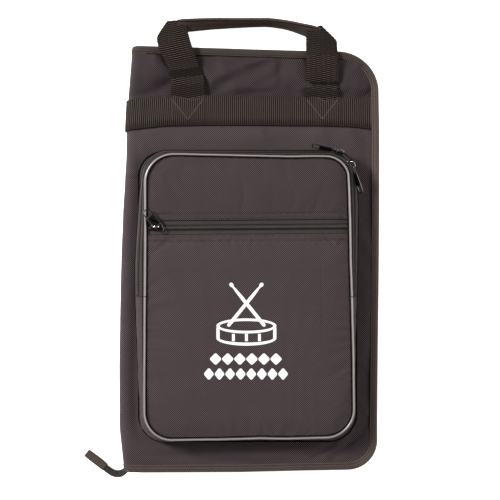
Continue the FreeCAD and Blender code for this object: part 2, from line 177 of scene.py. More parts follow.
def grid(name, P, U=None, V=None, cu=False, cv=False, keep=None, flip=False, mat=None, thick=0.0, offset=-1.0, flat=False):
    """A quad grid. U and V are the cloth coordinates of the rows and columns, in mm, one longer where closed, or full arrays."""
    P = np.asarray(P, float)
    nu, nv = P.shape[:2]
    f, (I, J, I2, J2) = grid_faces(nu, nv, cu, cv, keep)
    if U is None:
        mid = nv // 2
        Q = P[:, mid]; Q = np.vstack([Q, Q[:1]]) if cu else Q
        U = arclen(Q)
    if V is None:
        mid = nu // 2
        Q = P[mid]; Q = np.vstack([Q, Q[:1]]) if cv else Q
        V = arclen(Q)
    U, V = np.asarray(U, float), np.asarray(V, float)
    gu = (lambda i, j: U[i]) if U.ndim == 1 else (lambda i, j: U[i, j])
    gv = (lambda i, j: V[j]) if V.ndim == 1 else (lambda i, j: V[i, j])
    uv = np.stack([np.stack([gu(I, J), gv(I, J)], 1), np.stack([gu(I2, J), gv(I2, J)], 1),
                   np.stack([gu(I2, J2), gv(I2, J2)], 1), np.stack([gu(I, J2), gv(I, J2)], 1)], 1)
    if flip:
        f = f[:, ::-1]; uv = uv[:, ::-1]
    used, inv = np.unique(f, return_inverse=True)
    o = make(name, P.reshape(-1, 3)[used], inv.reshape(f.shape), uv, mat, flat)
    if thick:
        thicken(o, thick, offset)
    return o

def bake(o):
    dg = bpy.context.evaluated_depsgraph_get(); dg.update()
    me = bpy.data.meshes.new_from_object(o.evaluated_get(dg), preserve_all_data_layers=True, depsgraph=dg)
    o.modifiers.clear()
    old = o.data; o.data = me; me.name = o.name
    bpy.data.meshes.remove(old)
    return o

def thicken(o, t, offset=-1.0):
    m = o.modifiers.new("t", "SOLIDIFY"); m.thickness = t * MM; m.offset = offset; m.use_rim = True; m.use_quality_normals = True
    return bake(o)

def subdiv(o, n=1):
    m = o.modifiers.new("s", "SUBSURF"); m.levels = n; m.render_levels = n
    return bake(o)

def instances(name, base_co, base_faces, M, T, mat, flat=False, base_uv=None):
    """Copies of one small closed mesh, merged. M: (n,3,3) with columns as axes, T: (n,3), mm."""
    base_co = np.asarray(base_co, float); base_faces = np.asarray(base_faces, int)
    n, k = len(T), len(base_co)
    co = np.einsum("nij,kj->nki", M, base_co) + T[:, None, :]
    f = (base_faces[None] + (np.arange(n) * k)[:, None, None]).reshape(-1, base_faces.shape[1])
    return make(name, co.reshape(-1, 3), f, None, mat, flat)

def capsule(length, r, rz=None, seg=6, rings=4):
    """A closed rounded rod along local x, as quads with its ends closed by small caps."""
    rz = rz or r
    xs, rr = [], []
    half = length / 2 - r
    for i in range(rings + 1):
        a = math.pi / 2 * (1 - i / rings)
        xs.append(-half - r * math.sin(a)); rr.append(max(math.cos(a), 0.12))
    for i in range(rings + 1):
        a = math.pi / 2 * i / rings
        xs.append(half + r * math.sin(a)); rr.append(max(math.cos(a), 0.12))
    co = []
    for x, q in zip(xs, rr):
        for j in range(seg):
            t = 2 * math.pi * j / seg
            co.append([x, r * q * math.cos(t), rz * q * math.sin(t)])
    faces, n = [], len(xs)
    for i in range(n - 1):
        for j in range(seg):
            faces.append([i * seg + j, i * seg + (j + 1) % seg, (i + 1) * seg + (j + 1) % seg, (i + 1) * seg + j])
    faces = [f[::-1] for f in faces]
    e = (n - 1) * seg
    if seg == 6:
        faces += [[0, 1, 2, 3], [0, 3, 4, 5]]
        faces += [[e + 3, e + 2, e + 1, e], [e + 5, e + 4, e + 3, e]]
    elif seg == 4:
        faces += [[0, 1, 2, 3], [e + 3, e + 2, e + 1, e]]
    elif seg == 8:
        faces += [[0, 1, 2, 3], [0, 3, 4, 7], [4, 5, 6, 7]]
        faces += [[e + 3, e + 2, e + 1, e], [e + 7, e + 4, e + 3, e], [e + 7, e + 6, e + 5, e + 4]]
    return np.array(co), np.array(faces)

def frames(T, N):
    """Columns: along, side, normal."""
    T = T / np.linalg.norm(T, axis=1, keepdims=True)
    S = np.cross(N, T); S /= np.linalg.norm(S, axis=1, keepdims=True)
    N = np.cross(T, S)
    return np.stack([T, S, N], 2)

def resample(P, step, start=0.0, end=0.0, n=None):
    s = arclen(P)
    L = s[-1] - start - end
    k = n or max(2, int(round(L / step)))
    q = start + (np.arange(k) + 0.5) * L / k
    return np.stack([np.interp(q, s, P[:, i]) for i in range(P.shape[1])], 1), q

def stitches(name, P, N, pitch=3.4, length=2.5, r=0.3, lift=0.12, mat="thread", start=0.0, end=0.0, tilt=7.0):
    """A row of thread stitches on the line P, with surface normals N."""
    PN = np.hstack([P, N])
    Q, q = resample(PN, pitch, start, end)
    # arc length runs in the six columns together, so measure it on the points alone
    s = arclen(P); L = s[-1] - start - end
    k = max(2, int(round(L / pitch)))
    q = start + (np.arange(k) + 0.5) * L / k
    C = np.stack([np.interp(q, s, PN[:, i]) for i in range(6)], 1)
    A = np.stack([np.interp(q - 0.3, s, P[:, i]) for i in range(3)], 1)
    B = np.stack([np.interp(q + 0.3, s, P[:, i]) for i in range(3)], 1)
    T = B - A
    N2 = C[:, 3:]; N2 = N2 / np.linalg.norm(N2, axis=1, keepdims=True)
    F = frames(T, N2)
    a = math.radians(tilt)
    R = np.array([[math.cos(a), -math.sin(a), 0], [math.sin(a), math.cos(a), 0], [0, 0, 1]])
    M = F @ R
    co, f = capsule(length, r, r * 0.8, 6, 2)
    return instances(name, co, f, M, C[:, :3] + N2 * lift, mat)

# ---------------------------------------------------------------- materials
def node_mat(name):
    m = bpy.data.materials.new(name); m.use_nodes = True
    nt = m.node_tree
    b = nt.nodes["Principled BSDF"]
    MATS[name] = m
    return m, nt, b

class NB:
    """Small helper to write shader maths."""
    def __init__(s, nt): s.nt = nt
    def n(s, kind, **kw):
        x = s.nt.nodes.new(kind)
        for k, v in kw.items(): setattr(x, k, v)
        return x
    def put(s, sock, v):
        if isinstance(v, bpy.types.NodeSocket): s.nt.links.new(v, sock)
        else: sock.default_value = v
    def m(s, op, a, b=0.0, c=0.0):
        x = s.n("ShaderNodeMath", operation=op)
        s.put(x.inputs[0], a); s.put(x.inputs[1], b)
        if len(x.inputs) > 2: s.put(x.inputs[2], c)
        return x.outputs[0]
    def uv(s, name="weave"):
        u = s.n("ShaderNodeUVMap", uv_map=name)
        sp = s.n("ShaderNodeSeparateXYZ"); s.nt.links.new(u.outputs[0], sp.inputs[0])
        return u.outputs[0], sp.outputs[0], sp.outputs[1]
    def obj(s):
        t = s.n("ShaderNodeTexCoord")
        return t.outputs["Object"]
    def noise(s, vec, scale, detail=2.0, rough=0.5):
        x = s.n("ShaderNodeTexNoise"); s.put(x.inputs["Vector"], vec)
        x.inputs["Scale"].default_value = scale; x.inputs["Detail"].default_value = detail; x.inputs["Roughness"].default_value = rough
        return x.outputs["Fac"]
    def ramp(s, fac, stops):
        x = s.n("ShaderNodeValToRGB"); s.put(x.inputs[0], fac)
        el = x.color_ramp.elements
        while len(el) < len(stops): el.new(0.5)
        for e, (p, c) in zip(el, stops):
            e.position = p; e.color = (c[0], c[1], c[2], 1)
        return x.outputs["Color"]
    def mix(s, fac, a, b):
        x = s.n("ShaderNodeMix", data_type="RGBA")
        s.put(x.inputs[0], fac)
        for i, v in ((6, a), (7, b)):
            if isinstance(v, bpy.types.NodeSocket): s.nt.links.new(v, x.inputs[i])
            else: x.inputs[i].default_value = (v[0], v[1], v[2], 1)
        return x.outputs[2]
    def bump(s, h, dist, strength=1.0, prev=None):
        x = s.n("ShaderNodeBump"); s.put(x.inputs["Height"], h)
        x.inputs["Distance"].default_value = dist; x.inputs["Strength"].default_value = strength
        if prev is not None: s.nt.links.new(prev, x.inputs["Normal"])
        return x.outputs[0]

def cloth(name, lo, hi, pitch=1.15, depth=0.12, rough=0.82, sheen=0.05, spec=0.12, mottled=0.12, dust=0.0):
    """Plain woven cloth. lo and hi are the two crossing yarns' colours; pitch and depth in mm."""
    m, nt, b = node_mat(name); k = NB(nt)
    vec, u, v = k.uv()
    f = math.pi / (pitch * MM)
    # a little yarn drift, so that the weave isn't ruled
    drift = k.noise(vec, 55.0, 1.0)
    du = k.m("MULTIPLY", k.m("SUBTRACT", drift, 0.5), 1.6)
    a = k.m("SINE", k.m("ADD", k.m("MULTIPLY", u, f), du))
    c = k.m("SINE", k.m("ADD", k.m("MULTIPLY", v, f), du))
    p = k.m("MULTIPLY", a, c)
    over = k.m("MULTIPLY_ADD", p, 2.5, 0.5)
    over = k.m("MINIMUM", k.m("MAXIMUM", over, 0.0), 1.0)
    aa, cc = k.m("ABSOLUTE", a), k.m("ABSOLUTE", c)
    hw = k.m("MULTIPLY", k.m("POWER", aa, 0.6), cc)
    hf = k.m("MULTIPLY", k.m("POWER", cc, 0.6), aa)
    h = k.m("ADD", k.m("MULTIPLY", hw, over), k.m("MULTIPLY", hf, k.m("SUBTRACT", 1.0, over)))
    cell = k.mix(over, lo, hi)
    # darker in the holes between yarns
    deep = k.m("MULTIPLY_ADD", h, 0.95, 0.30)
    big = k.noise(vec, 14.0, 3.0, 0.55)
    fine = k.noise(vec, 900.0, 2.0, 0.7)
    var = k.m("ADD", k.m("MULTIPLY_ADD", big, 2 * mottled, 1.0 - mottled), k.m("MULTIPLY_ADD", fine, 0.22, -0.11))
    mul = k.m("MULTIPLY", deep, var)
    x = k.n("ShaderNodeVectorMath", operation="SCALE"); nt.links.new(cell, x.inputs[0]); nt.links.new(mul, x.inputs[3])
    nt.links.new(x.outputs[0], b.inputs["Base Color"])
    nrm = k.bump(h, depth * MM, 0.9)
    nrm = k.bump(fine, 0.03 * MM, 0.5, nrm)
    nt.links.new(nrm, b.inputs["Normal"])
    r = k.m("MULTIPLY_ADD", big, 0.16, rough - 0.08)
    nt.links.new(r, b.inputs["Roughness"])
    b.inputs["Specular IOR Level"].default_value = spec
    b.inputs["Sheen Weight"].default_value = sheen
    b.inputs["Sheen Roughness"].default_value = 0.45
    b.inputs["Sheen Tint"].default_value = (0.80, 0.72, 0.76, 1)
    return m

def webbing_mat(name, lo, hi, pitch=2.35, col=5.4, shift=0.0, depth=0.16, sharp=1.5):
    """Ribbed webbing: ribs across its length, in columns. u runs along it, v across it."""
    m, nt, b = node_mat(name); k = NB(nt)
    vec, u, v = k.uv()
    colv = k.m("FLOOR", k.m("DIVIDE", v, col * MM))
    odd = k.m("MULTIPLY", k.m("MODULO", k.m("ABSOLUTE", colv), 2.0), math.pi * 2 * shift)
    drift = k.m("MULTIPLY", k.m("SUBTRACT", k.noise(vec, 90.0, 1.0), 0.5), 0.9)
    ph = k.m("ADD", k.m("ADD", k.m("MULTIPLY", u, 2 * math.pi / (pitch * MM)), odd), drift)
    rib = k.m("POWER", k.m("MULTIPLY_ADD", k.m("COSINE", ph), 0.5, 0.5), sharp)
    edge = k.m("ABSOLUTE", k.m("SINE", k.m("MULTIPLY", v, math.pi / (col * MM))))
    edge = k.m("MINIMUM", k.m("MULTIPLY_ADD", edge, 2.2, 0.35), 1.0)
    yarn = k.m("ABSOLUTE", k.m("SINE", k.m("MULTIPLY", v, math.pi / (0.9 * MM))))
    h = k.m("MULTIPLY", k.m("MULTIPLY", rib, edge), k.m("MULTIPLY_ADD", yarn, 0.3, 0.7))
    big = k.noise(vec, 22.0, 3.0, 0.6)
    fine = k.noise(vec, 1100.0, 2.0, 0.7)
    t = k.m("ADD", h, k.m("MULTIPLY_ADD", fine, 0.3, -0.15))
    colr = k.mix(k.m("MINIMUM", k.m("MAXIMUM", t, 0.0), 1.0), lo, hi)
    x = k.n("ShaderNodeVectorMath", operation="SCALE"); nt.links.new(colr, x.inputs[0]); nt.links.new(k.m("MULTIPLY_ADD", big, 0.5, 0.75), x.inputs[3])
    nt.links.new(x.outputs[0], b.inputs["Base Color"])
    nrm = k.bump(h, depth * MM, 0.9)
    nrm = k.bump(fine, 0.05 * MM, 0.6, nrm)
    nt.links.new(nrm, b.inputs["Normal"])
    nt.links.new(k.m("MULTIPLY_ADD", fine, 0.2, 0.66), b.inputs["Roughness"])
    b.inputs["Specular IOR Level"].default_value = 0.07
    b.inputs["Sheen Weight"].default_value = 0.0
    return m

def tape_mat(name, lo, hi, pitch=0.7, depth=0.06, ribs=1.9, painted_light_and_shade=False):
    """Woven tape: fine ribs across u, and faint lines along it."""
    m, nt, b = node_mat(name); k = NB(nt)
    vec, u, v = k.uv()
    a = k.m("ABSOLUTE", k.m("SINE", k.m("MULTIPLY", u, math.pi / (pitch * MM))))
    c = k.m("ABSOLUTE", k.m("SINE", k.m("MULTIPLY", v, math.pi / (ribs * MM))))
    h = k.m("MULTIPLY_ADD", a, 0.6, k.m("MULTIPLY", c, 0.4))
    big = k.noise(vec, 30.0, 3.0, 0.6)
    fine = k.noise(vec, 1300.0, 2.0, 0.7)
    t = k.m("ADD", k.m("MULTIPLY", h, 0.7), k.m("MULTIPLY", fine, 0.4))
    colr = k.mix(k.m("MINIMUM", t, 1.0), lo, hi)
    shade = k.m("MULTIPLY_ADD", big, 0.4, 0.8)
    if painted_light_and_shade:
        # painted shade and painted light: darker along the top edge, lighter along the right one
        sep = k.n("ShaderNodeSeparateXYZ"); nt.links.new(k.obj(), sep.inputs[0])
        ty = k.m("MINIMUM", k.m("MAXIMUM", k.m("DIVIDE", k.m("SUBTRACT", sep.outputs["Y"], 0.192), 0.034), 0.0), 1.0)
        tx = k.m("MINIMUM", k.m("MAXIMUM", k.m("DIVIDE", k.m("SUBTRACT", sep.outputs["X"], 0.116), 0.018), 0.0), 1.0)
        shade = k.m("MULTIPLY", shade, k.m("MULTIPLY_ADD", ty, -0.30, 1.0))
        shade = k.m("MULTIPLY", shade, k.m("MULTIPLY_ADD", k.m("MULTIPLY", tx, k.m("SUBTRACT", 1.0, ty)), 0.30, 1.0))
    x = k.n("ShaderNodeVectorMath", operation="SCALE"); nt.links.new(colr, x.inputs[0]); nt.links.new(shade, x.inputs[3])
    nt.links.new(x.outputs[0], b.inputs["Base Color"])
    nrm = k.bump(h, depth * MM, 0.8)
    nt.links.new(k.bump(fine, 0.03 * MM, 0.5, nrm), b.inputs["Normal"])
    nt.links.new(k.m("MULTIPLY_ADD", fine, 0.2, 0.6), b.inputs["Roughness"])
    b.inputs["Specular IOR Level"].default_value = 0.10
    b.inputs["Sheen Weight"].default_value = 0.02
    return m

def solid_mat(name, color, rough=0.4, spec=0.5, metal=0.0, coat=0.0, coat_rough=0.1, bump_mm=0.02, scale=700.0, worn=None, var=0.25, rough_var=0.12, crown=None):
    """Moulded or plated stuff: faint mottling, fine bump and roughness that varies."""
    m, nt, b = node_mat(name); k = NB(nt)
    vec = k.obj()
    big = k.noise(vec, 120.0, 3.0, 0.6)
    fine = k.noise(vec, scale, 3.0, 0.6)
    c1 = [c * (1 - var) for c in color]; c2 = [min(1, c * (1 + var)) for c in color]
    colr = k.mix(big, c1, c2)
    if worn:
        g = k.n("ShaderNodeNewGeometry")
        edge = k.m("MULTIPLY", k.m("SUBTRACT", g.outputs["Pointiness"], 0.52), 9.0)
        edge = k.m("MULTIPLY", k.m("MINIMUM", k.m("MAXIMUM", edge, 0.0), 1.0), big)
        colr = k.mix(edge, colr, worn)
    if crown:
        # painted highlight: lighter where the surface faces up
        tc = k.n("ShaderNodeTexCoord"); sep = k.n("ShaderNodeSeparateXYZ")
        nt.links.new(tc.outputs["Normal"], sep.inputs[0])
        colr = k.mix(k.m("POWER", k.m("MAXIMUM", sep.outputs["Z"], 0.0), 7.0), colr, crown)
    nt.links.new(colr, b.inputs["Base Color"])
    nt.links.new(k.bump(fine, bump_mm * MM, 0.5), b.inputs["Normal"])
    nt.links.new(k.m("MULTIPLY_ADD", fine, 2 * rough_var, rough - rough_var), b.inputs["Roughness"])
    b.inputs["Specular IOR Level"].default_value = spec
    b.inputs["Metallic"].default_value = metal
    b.inputs["Coat Weight"].default_value = coat
    b.inputs["Coat Roughness"].default_value = coat_rough
    return m

cloth("pack_cloth", (0.0130, 0.0090, 0.0099), (0.1190, 0.0882, 0.0945), depth=0.18)
# a darker copy of the cover cloth: painted shade for the strip above the band
cloth("pack_cloth_top_painted_shade", (0.0088, 0.0060, 0.0066), (0.0790, 0.0585, 0.0627), depth=0.18)
cloth("pack_cloth_flap", (0.0085, 0.0058, 0.0064), (0.1080, 0.0800, 0.0858), depth=0.20)
cloth("pack_cloth_back", (0.026, 0.0178, 0.0196), (0.108, 0.080, 0.086), depth=0.16)
cloth("lining_cloth", (0.016, 0.015, 0.017), (0.034, 0.032, 0.036), pitch=0.6, depth=0.05, rough=0.6, sheen=0.1, spec=0.35)
webbing_mat("webbing", (0.008, 0.0056, 0.0046), (0.072, 0.055, 0.048))
webbing_mat("webbing_leg", (0.0006, 0.0004, 0.0004), (0.088, 0.0646, 0.0550), shift=0.5, depth=0.30, sharp=2.7)
# the binding's colour carries painted shade along the top edge and painted light along the right one
tape_mat("binding", (0.018, 0.0132, 0.0114), (0.088, 0.066, 0.058), pitch=0.95, ribs=1.9, depth=0.11, painted_light_and_shade=True)
tape_mat("zip_tape", (0.009, 0.0072, 0.0066), (0.056, 0.0450, 0.0415), pitch=0.6, ribs=1.3)
solid_mat("zip_teeth", (0.036, 0.0290, 0.0255), rough=0.42, spec=0.4, bump_mm=0.01)
solid_mat("thread", (0.020, 0.015, 0.014), rough=0.7, spec=0.25, bump_mm=0.03, scale=2500.0)
# dark thread for stitches, also used for dark cords that are painted shade in seams, creases and under edges
solid_mat("thread_dark_and_painted_shade", (0.0035, 0.0026, 0.0024), rough=0.9, spec=0.05, bump_mm=0.02, scale=2500.0)
solid_mat("thread_light", (0.090, 0.070, 0.062), rough=0.6, spec=0.3, bump_mm=0.03, scale=2500.0)
# the piping's crown colour is a painted highlight along its top
solid_mat("piping", (0.030, 0.0240, 0.0212), rough=0.32, spec=0.6, coat=0.9, coat_rough=0.24, bump_mm=0.03, scale=420.0, var=0.10, rough_var=0.06, crown=(0.300, 0.262, 0.240))
solid_mat("slider_metal", (0.030, 0.030, 0.030), rough=0.20, spec=0.5, metal=1.0, bump_mm=0.003, worn=(0.20, 0.19, 0.17), rough_var=0.05)
solid_mat("slider_bail", (0.34, 0.33, 0.32), rough=0.20, spec=0.5, metal=1.0, bump_mm=0.003, worn=(0.5, 0.48, 0.45), rough_var=0.05)
solid_mat("pull_metal", (0.085, 0.083, 0.080), rough=0.20, spec=0.5, metal=1.0, bump_mm=0.003, worn=(0.34, 0.32, 0.30), rough_var=0.05)
solid_mat("print_ink", (0.80, 0.79, 0.78), rough=0.62, spec=0.35, bump_mm=0.03, scale=1200.0, var=0.03, rough_var=0.08)

# ---------------------------------------------------------------- front cover's height
BAND_MID = 168.7
BAND_HALF = 16.9

def band_edges(x):
    """Foot and top of the band: its ends sit lower, and it spreads a little at the right."""
    x = np.asarray(x, float)
    top = np.interp(x, [-160, -139, -127, -112, -88, -40, 150], [177.8, 179.4, 182.0, 184.0, 185.4, 185.9, 185.6])
    foot = np.interp(x, [-160, -139, -120, -98, -50, 0, 80, 114, 130, 145], [144.6, 146.2, 148.4, 150.9, 152.0, 152.2, 151.9, 150.9, 149.0, 147.6])
    return foot, top

def band_shift(x):
    """How far the band's middle is from where it is at the centre."""
    foot, top = band_edges(x)
    return (foot + top) / 2 - BAND_MID

def band_half(x):
    foot, top = band_edges(x)
    return (top - foot) / 2

LEGS = ((-90.0, -52.0), (62.5, 100.5))

def edge_distance(x, y):
    """How far a point is inside the cover's three zipped edges."""
    d = np.minimum(np.minimum(XR - x, YT - y), y - YB)
    for r, cy, sy in ((RT, YT - RT, 1), (RB, YB + RB, -1)):
        cx = XR - r
        inside = (x > cx) & ((y - cy) * sy > 0)
        d = np.where(inside, r - np.hypot(x - cx, y - cy), d)
    return d

PK = dict(x0=-126.5, x1=120.5, y0=-204.5, y1=121.5)

def pocket_distance(x, y):
    """Signed distance to the pocket's base line, positive outside."""
    cx, cy = (PK["x0"] + PK["x1"]) / 2, (PK["y0"] + PK["y1"]) / 2
    hx, hy = (PK["x1"] - PK["x0"]) / 2, (PK["y1"] - PK["y0"]) / 2
    r = 24.0
    qx, qy = np.abs(x - cx) - hx + r, np.abs(y - cy) - hy + r
    return np.hypot(np.maximum(qx, 0), np.maximum(qy, 0)) + np.minimum(np.maximum(qx, qy), 0) - r

def side_valley(x, y):
    """Valley in the cover between the spine's bulge and the pocket's left side."""
    return 2.3 * np.exp(-((np.asarray(x, float) + 123.0) / 6.0) ** 2) * smooth(-204, -172, y) * smooth(126, 96, y)

def front_height(x, y):
    """Height of the front cover's outer cloth, over its flat part."""
    x, y = np.asarray(x, float), np.asarray(y, float)
    d = edge_distance(x, y)
    z = 34.9 + 2.2 * smooth(7, 34, d) - 0.5 * smooth(5, 0, d) + 2.3 * smooth(4, 18, d) * smooth(182, 198, y)
    z = z + 0.5 * smooth(20, 90, d)
    # padding rises between the band and the top binding, and sinks at the band's stitched edges
    by = y - (BAND_MID + band_shift(x))
    bh = band_half(x)
    z = z - 1.7 * np.exp(-((np.abs(by) - bh - 1.0) / 7.0) ** 2) - 1.5 * np.exp(-((by - bh) / 19.0) ** 2) * (by > bh)
    z = np.where(np.abs(by) < bh + 1.0, z - 0.6, z)
    # the pocket's seam pulls the cover down
    pd = pocket_distance(x, y)
    z = z - 1.1 * np.exp(-(pd / 8.0) ** 2) - 0.5 * smooth(0, -20, pd)
    # puckers that run out from the band's edges
    up = smooth(0, 4, np.abs(by) - bh) * np.exp(-np.maximum(np.abs(by) - bh, 0) / 18.0)
    z = z + up * (1.25 * perlin(x / 17.0, y / 60.0, 3) + 0.8 * perlin(x / 8.0, y / 40.0, 4))
    # the padding above the band is the most crumpled part
    top = smooth(186, 196, y) * smooth(240, 226, y)
    z = z + top * (3.0 * perlin((x + 0.35 * y) / 30.0, (y - 0.35 * x) / 24.0, 13) + 2.4 * ridge((x - 0.5 * y) / 52.0, (y + 0.4 * x) / 42.0, 14) - 0.7)
    # puckers along the binding
    z = z + 0.8 * np.exp(-((d - 10) / 7.0) ** 2) * perlin((x - y) / 9.0, (x + y) / 9.0, 15) * smooth(80, 130, x + 0.4 * y)
    # broad softness and faint creases
    soft = smooth(2, 14, d)
    z = z + soft * (1.7 * perlin(x / 62.0, y / 48.0, 1) + 1.25 * perlin(x / 27.0, y / 33.0, 2) + 0.30 * perlin(x / 10.0, y / 12.0, 5))
    z = z + soft * 0.8 * ridge((x + 0.6 * y) / 55.0, (y - 0.6 * x) / 140.0, 6)
    # dents between band and top edge, and by the handle's legs
    for cx, cy, lx, ly, deg, h in (
        (-103, 195, 15, 7, 12, -5.2), (-122, 208, 20, 9, -38, 2.6), (-96, 221, 8, 15, 32, -5.0), (-112, 226, 9, 9, 0, 1.4),
        (-44, 221, 8, 15, 20, -5.0), (-30, 198, 18, 7, 35, -4.0), (-12, 217, 24, 7, 24, 2.8), (8, 205, 26, 6, 32, 1.8), (16, 223, 20, 6, 20, -2.6),
        (35, 217, 5, 11, 0, -3.8), (53, 214, 6, 14, 8, 2.6), (50, 194, 7, 10, 0, -3.0), (112, 224, 10, 6, -38, -2.2), (110, 200, 8, 12, 10, -2.4), (121, 190, 8, 14, 10, 1.7),
        (-75, 208, 20, 26, 15, -3.4), (82, 208, 17, 28, 0, -3.4),
        (-134, 140, 9, 30, 0, 0.7), (-120, 133, 26, 6, 12, -0.8), (60, 134, 40, 6, -3, -0.6), (-20, 137, 40, 6, 2, 0.5),
        (133, 60, 7, 60, 0, -1.3), (130, 20, 7, 16, 35, 1.4), (134, -40, 9, 50, 2, 0.9), (133, -140, 8, 40, -2, -1.4), (129, -98, 6, 18, -30, 1.3), (131, -170, 6, 16, 30, 1.3),
        (108, -213, 26, 4.5, 42, -4.2), (98, -221, 26, 5.5, 40, 2.4), (121, -197, 24, 5.5, 48, -3.0), (87, -214, 22, 3.6, 38, -2.6),
        (-60, -219, 50, 5, 3, -1.5), (20, -222, 60, 6, -2, 1.3), (-118, -222, 20, 7, -25, 1.6), (40, -212, 30, 4, 8, -1.6), (-20, -228, 34, 4, -4, -1.0),
        (-134, 118, 7, 30, -8, -1.8), (-134, 92, 9, 2.4, -4, -1.7), (-132, 98, 9, 3.2, -4, 0.8), (-136, 60, 6, 50, 0, 1.2), (-133, 20, 6, 26, 6, -1.5), (-137, -90, 6, 60, 0, 1.1), (-134, -150, 6, 30, -6, -1.6),
    ):
        z = z + soft * h * gauss(x, y, cx, cy, lx, ly, deg)
    z = z - side_valley(x, y)
    # dents never reach the lining
    low = 35.0 - z
    z = np.where(low > 0, 35.0 - 1.7 * np.tanh(low / 1.7), z)
    return z

NSUP = 3.1
XC = -127.0      # where the cover starts to roll over into the spine

def spine_profile(phi, zc, b, a):
    c, s = np.cos(phi), np.sin(phi)
    return XC - a * np.sign(c) * np.abs(c) ** (2 / NSUP), zc + b * np.abs(s) ** (2 / NSUP)

def right_edge(y, inset):
    """x of the cover's right outline at y, set in by inset."""
    x = np.full_like(y, XR - inset)
    for r, cy, sy in ((RT, YT - RT, 1), (RB, YB + RB, -1)):
        rr = r - inset; cx = XR - r
        dy = (y - cy) * sy
        m = dy > 0
        x = np.where(m, cx + np.sqrt(np.maximum(rr * rr - np.minimum(dy, rr) ** 2, 0)), x)
    return x

def cover_cloth(name, front, mat):
    """Outer cloth of one half: flat part, roll into the spine, down or up to the spine's middle."""
    inset = 4.0
    ys = np.linspace(YB + inset, YT - inset, 290)
    c = np.linspace(0, 1, 170)
    phi = np.linspace(math.pi / 2, 0, 30)[1:]
    rows, UU = [], []
    xr = right_edge(ys, inset)
    for y, x1 in zip(ys, xr):
        x = x1 + (XC - x1) * c
        if front:
            z = front_height(x, np.full_like(x, y))
            z0 = z[-1] + float(side_valley(XC, y))
            a = 15.8 + 0.9 * perlin(y / 70.0, 0.3, 8)
            sx, sz = spine_profile(phi, ZMID, z0 - ZMID, a)
            sz = sz - side_valley(sx, y) * smooth(0.3, 0.9, (sz - ZMID) / (z0 - ZMID))
        else:
            z = back_height(x, np.full_like(x, y))
            z0 = z[-1]
            a = 15.8 + 0.9 * perlin(y / 70.0, 0.3, 8)
            sx, sz = spine_profile(phi, 0, 1, a)
            sz = ZMID - (ZMID - z0) * sz
        w = np.sin(np.linspace(0, math.pi, len(phi)))
        sx = sx + w * (0.7 * perlin(y / 34.0, sz / 12.0, 9) + 0.35 * perlin(y / 12.0, sz / 9.0, 10))
        X = np.concatenate([x, sx]); Z = np.concatenate([z, sz])
        rows.append(np.stack([X, np.full_like(X, y), Z], 1))
        s = np.concatenate([[0], np.cumsum(np.hypot(np.diff(X), np.diff(Z)))])
        UU.append(s - s[len(c) - 1])
    P = np.array(rows)
    U = np.repeat(ys[:, None], P.shape[1], 1)
    V = np.array(UU)
    P = warp(P)
    o = grid(name, P, U, V, mat=mat, flip=not front, thick=1.1, offset=-1.0)
    return o

def back_height(x, y):
    """Height of the back cover's outer cloth: flat on the floor, with a hollow where the rear webbing presses in."""
    x, y = np.asarray(x, float), np.asarray(y, float)
    d = edge_distance(x, y)
    z = 0.05 + 1.1 * smooth(14, 3, d)
    by = np.abs(y - BAND_MID)
    z = np.maximum(z, 2.0 * smooth(BAND_HALF + 5.0, BAND_HALF + 0.8, by))
    for x0, x1 in LEGS:
        lean = np.clip((y - 186) / 60.0, 0, 1) * (-14.0 if x0 < 0 else 0.0)
        m = smooth(5.0, 0.8, np.maximum(x0 + lean - x, x - x1 - lean)) * smooth(165, 180, y)
        z = np.maximum(z, 2.0 * m)
    return z + 0.12 * (1 + perlin(x / 30.0, y / 30.0, 12)) * smooth(2, 14, d)

front_cloth = cover_cloth("front_cover_cloth", True, "pack_cloth")
back_cloth = cover_cloth("back_cover_cloth", False, "pack_cloth_back")
# painted shade: the cloth above the webbing band takes a darker copy of its material, split off along a line that lies
# under the band
front_cloth.data.materials.append(MATS["pack_cloth_top_painted_shade"])
for p in front_cloth.data.polygons:
    if p.center.y > 0.168: p.material_index = 1
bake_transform(front_cloth)
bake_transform(back_cloth)
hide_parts("front_outer_fabric", "front_foam_pad", "spine_outer_fabric", "spine_foam_strip")
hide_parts("back_outer_fabric", "back_foam_pad")

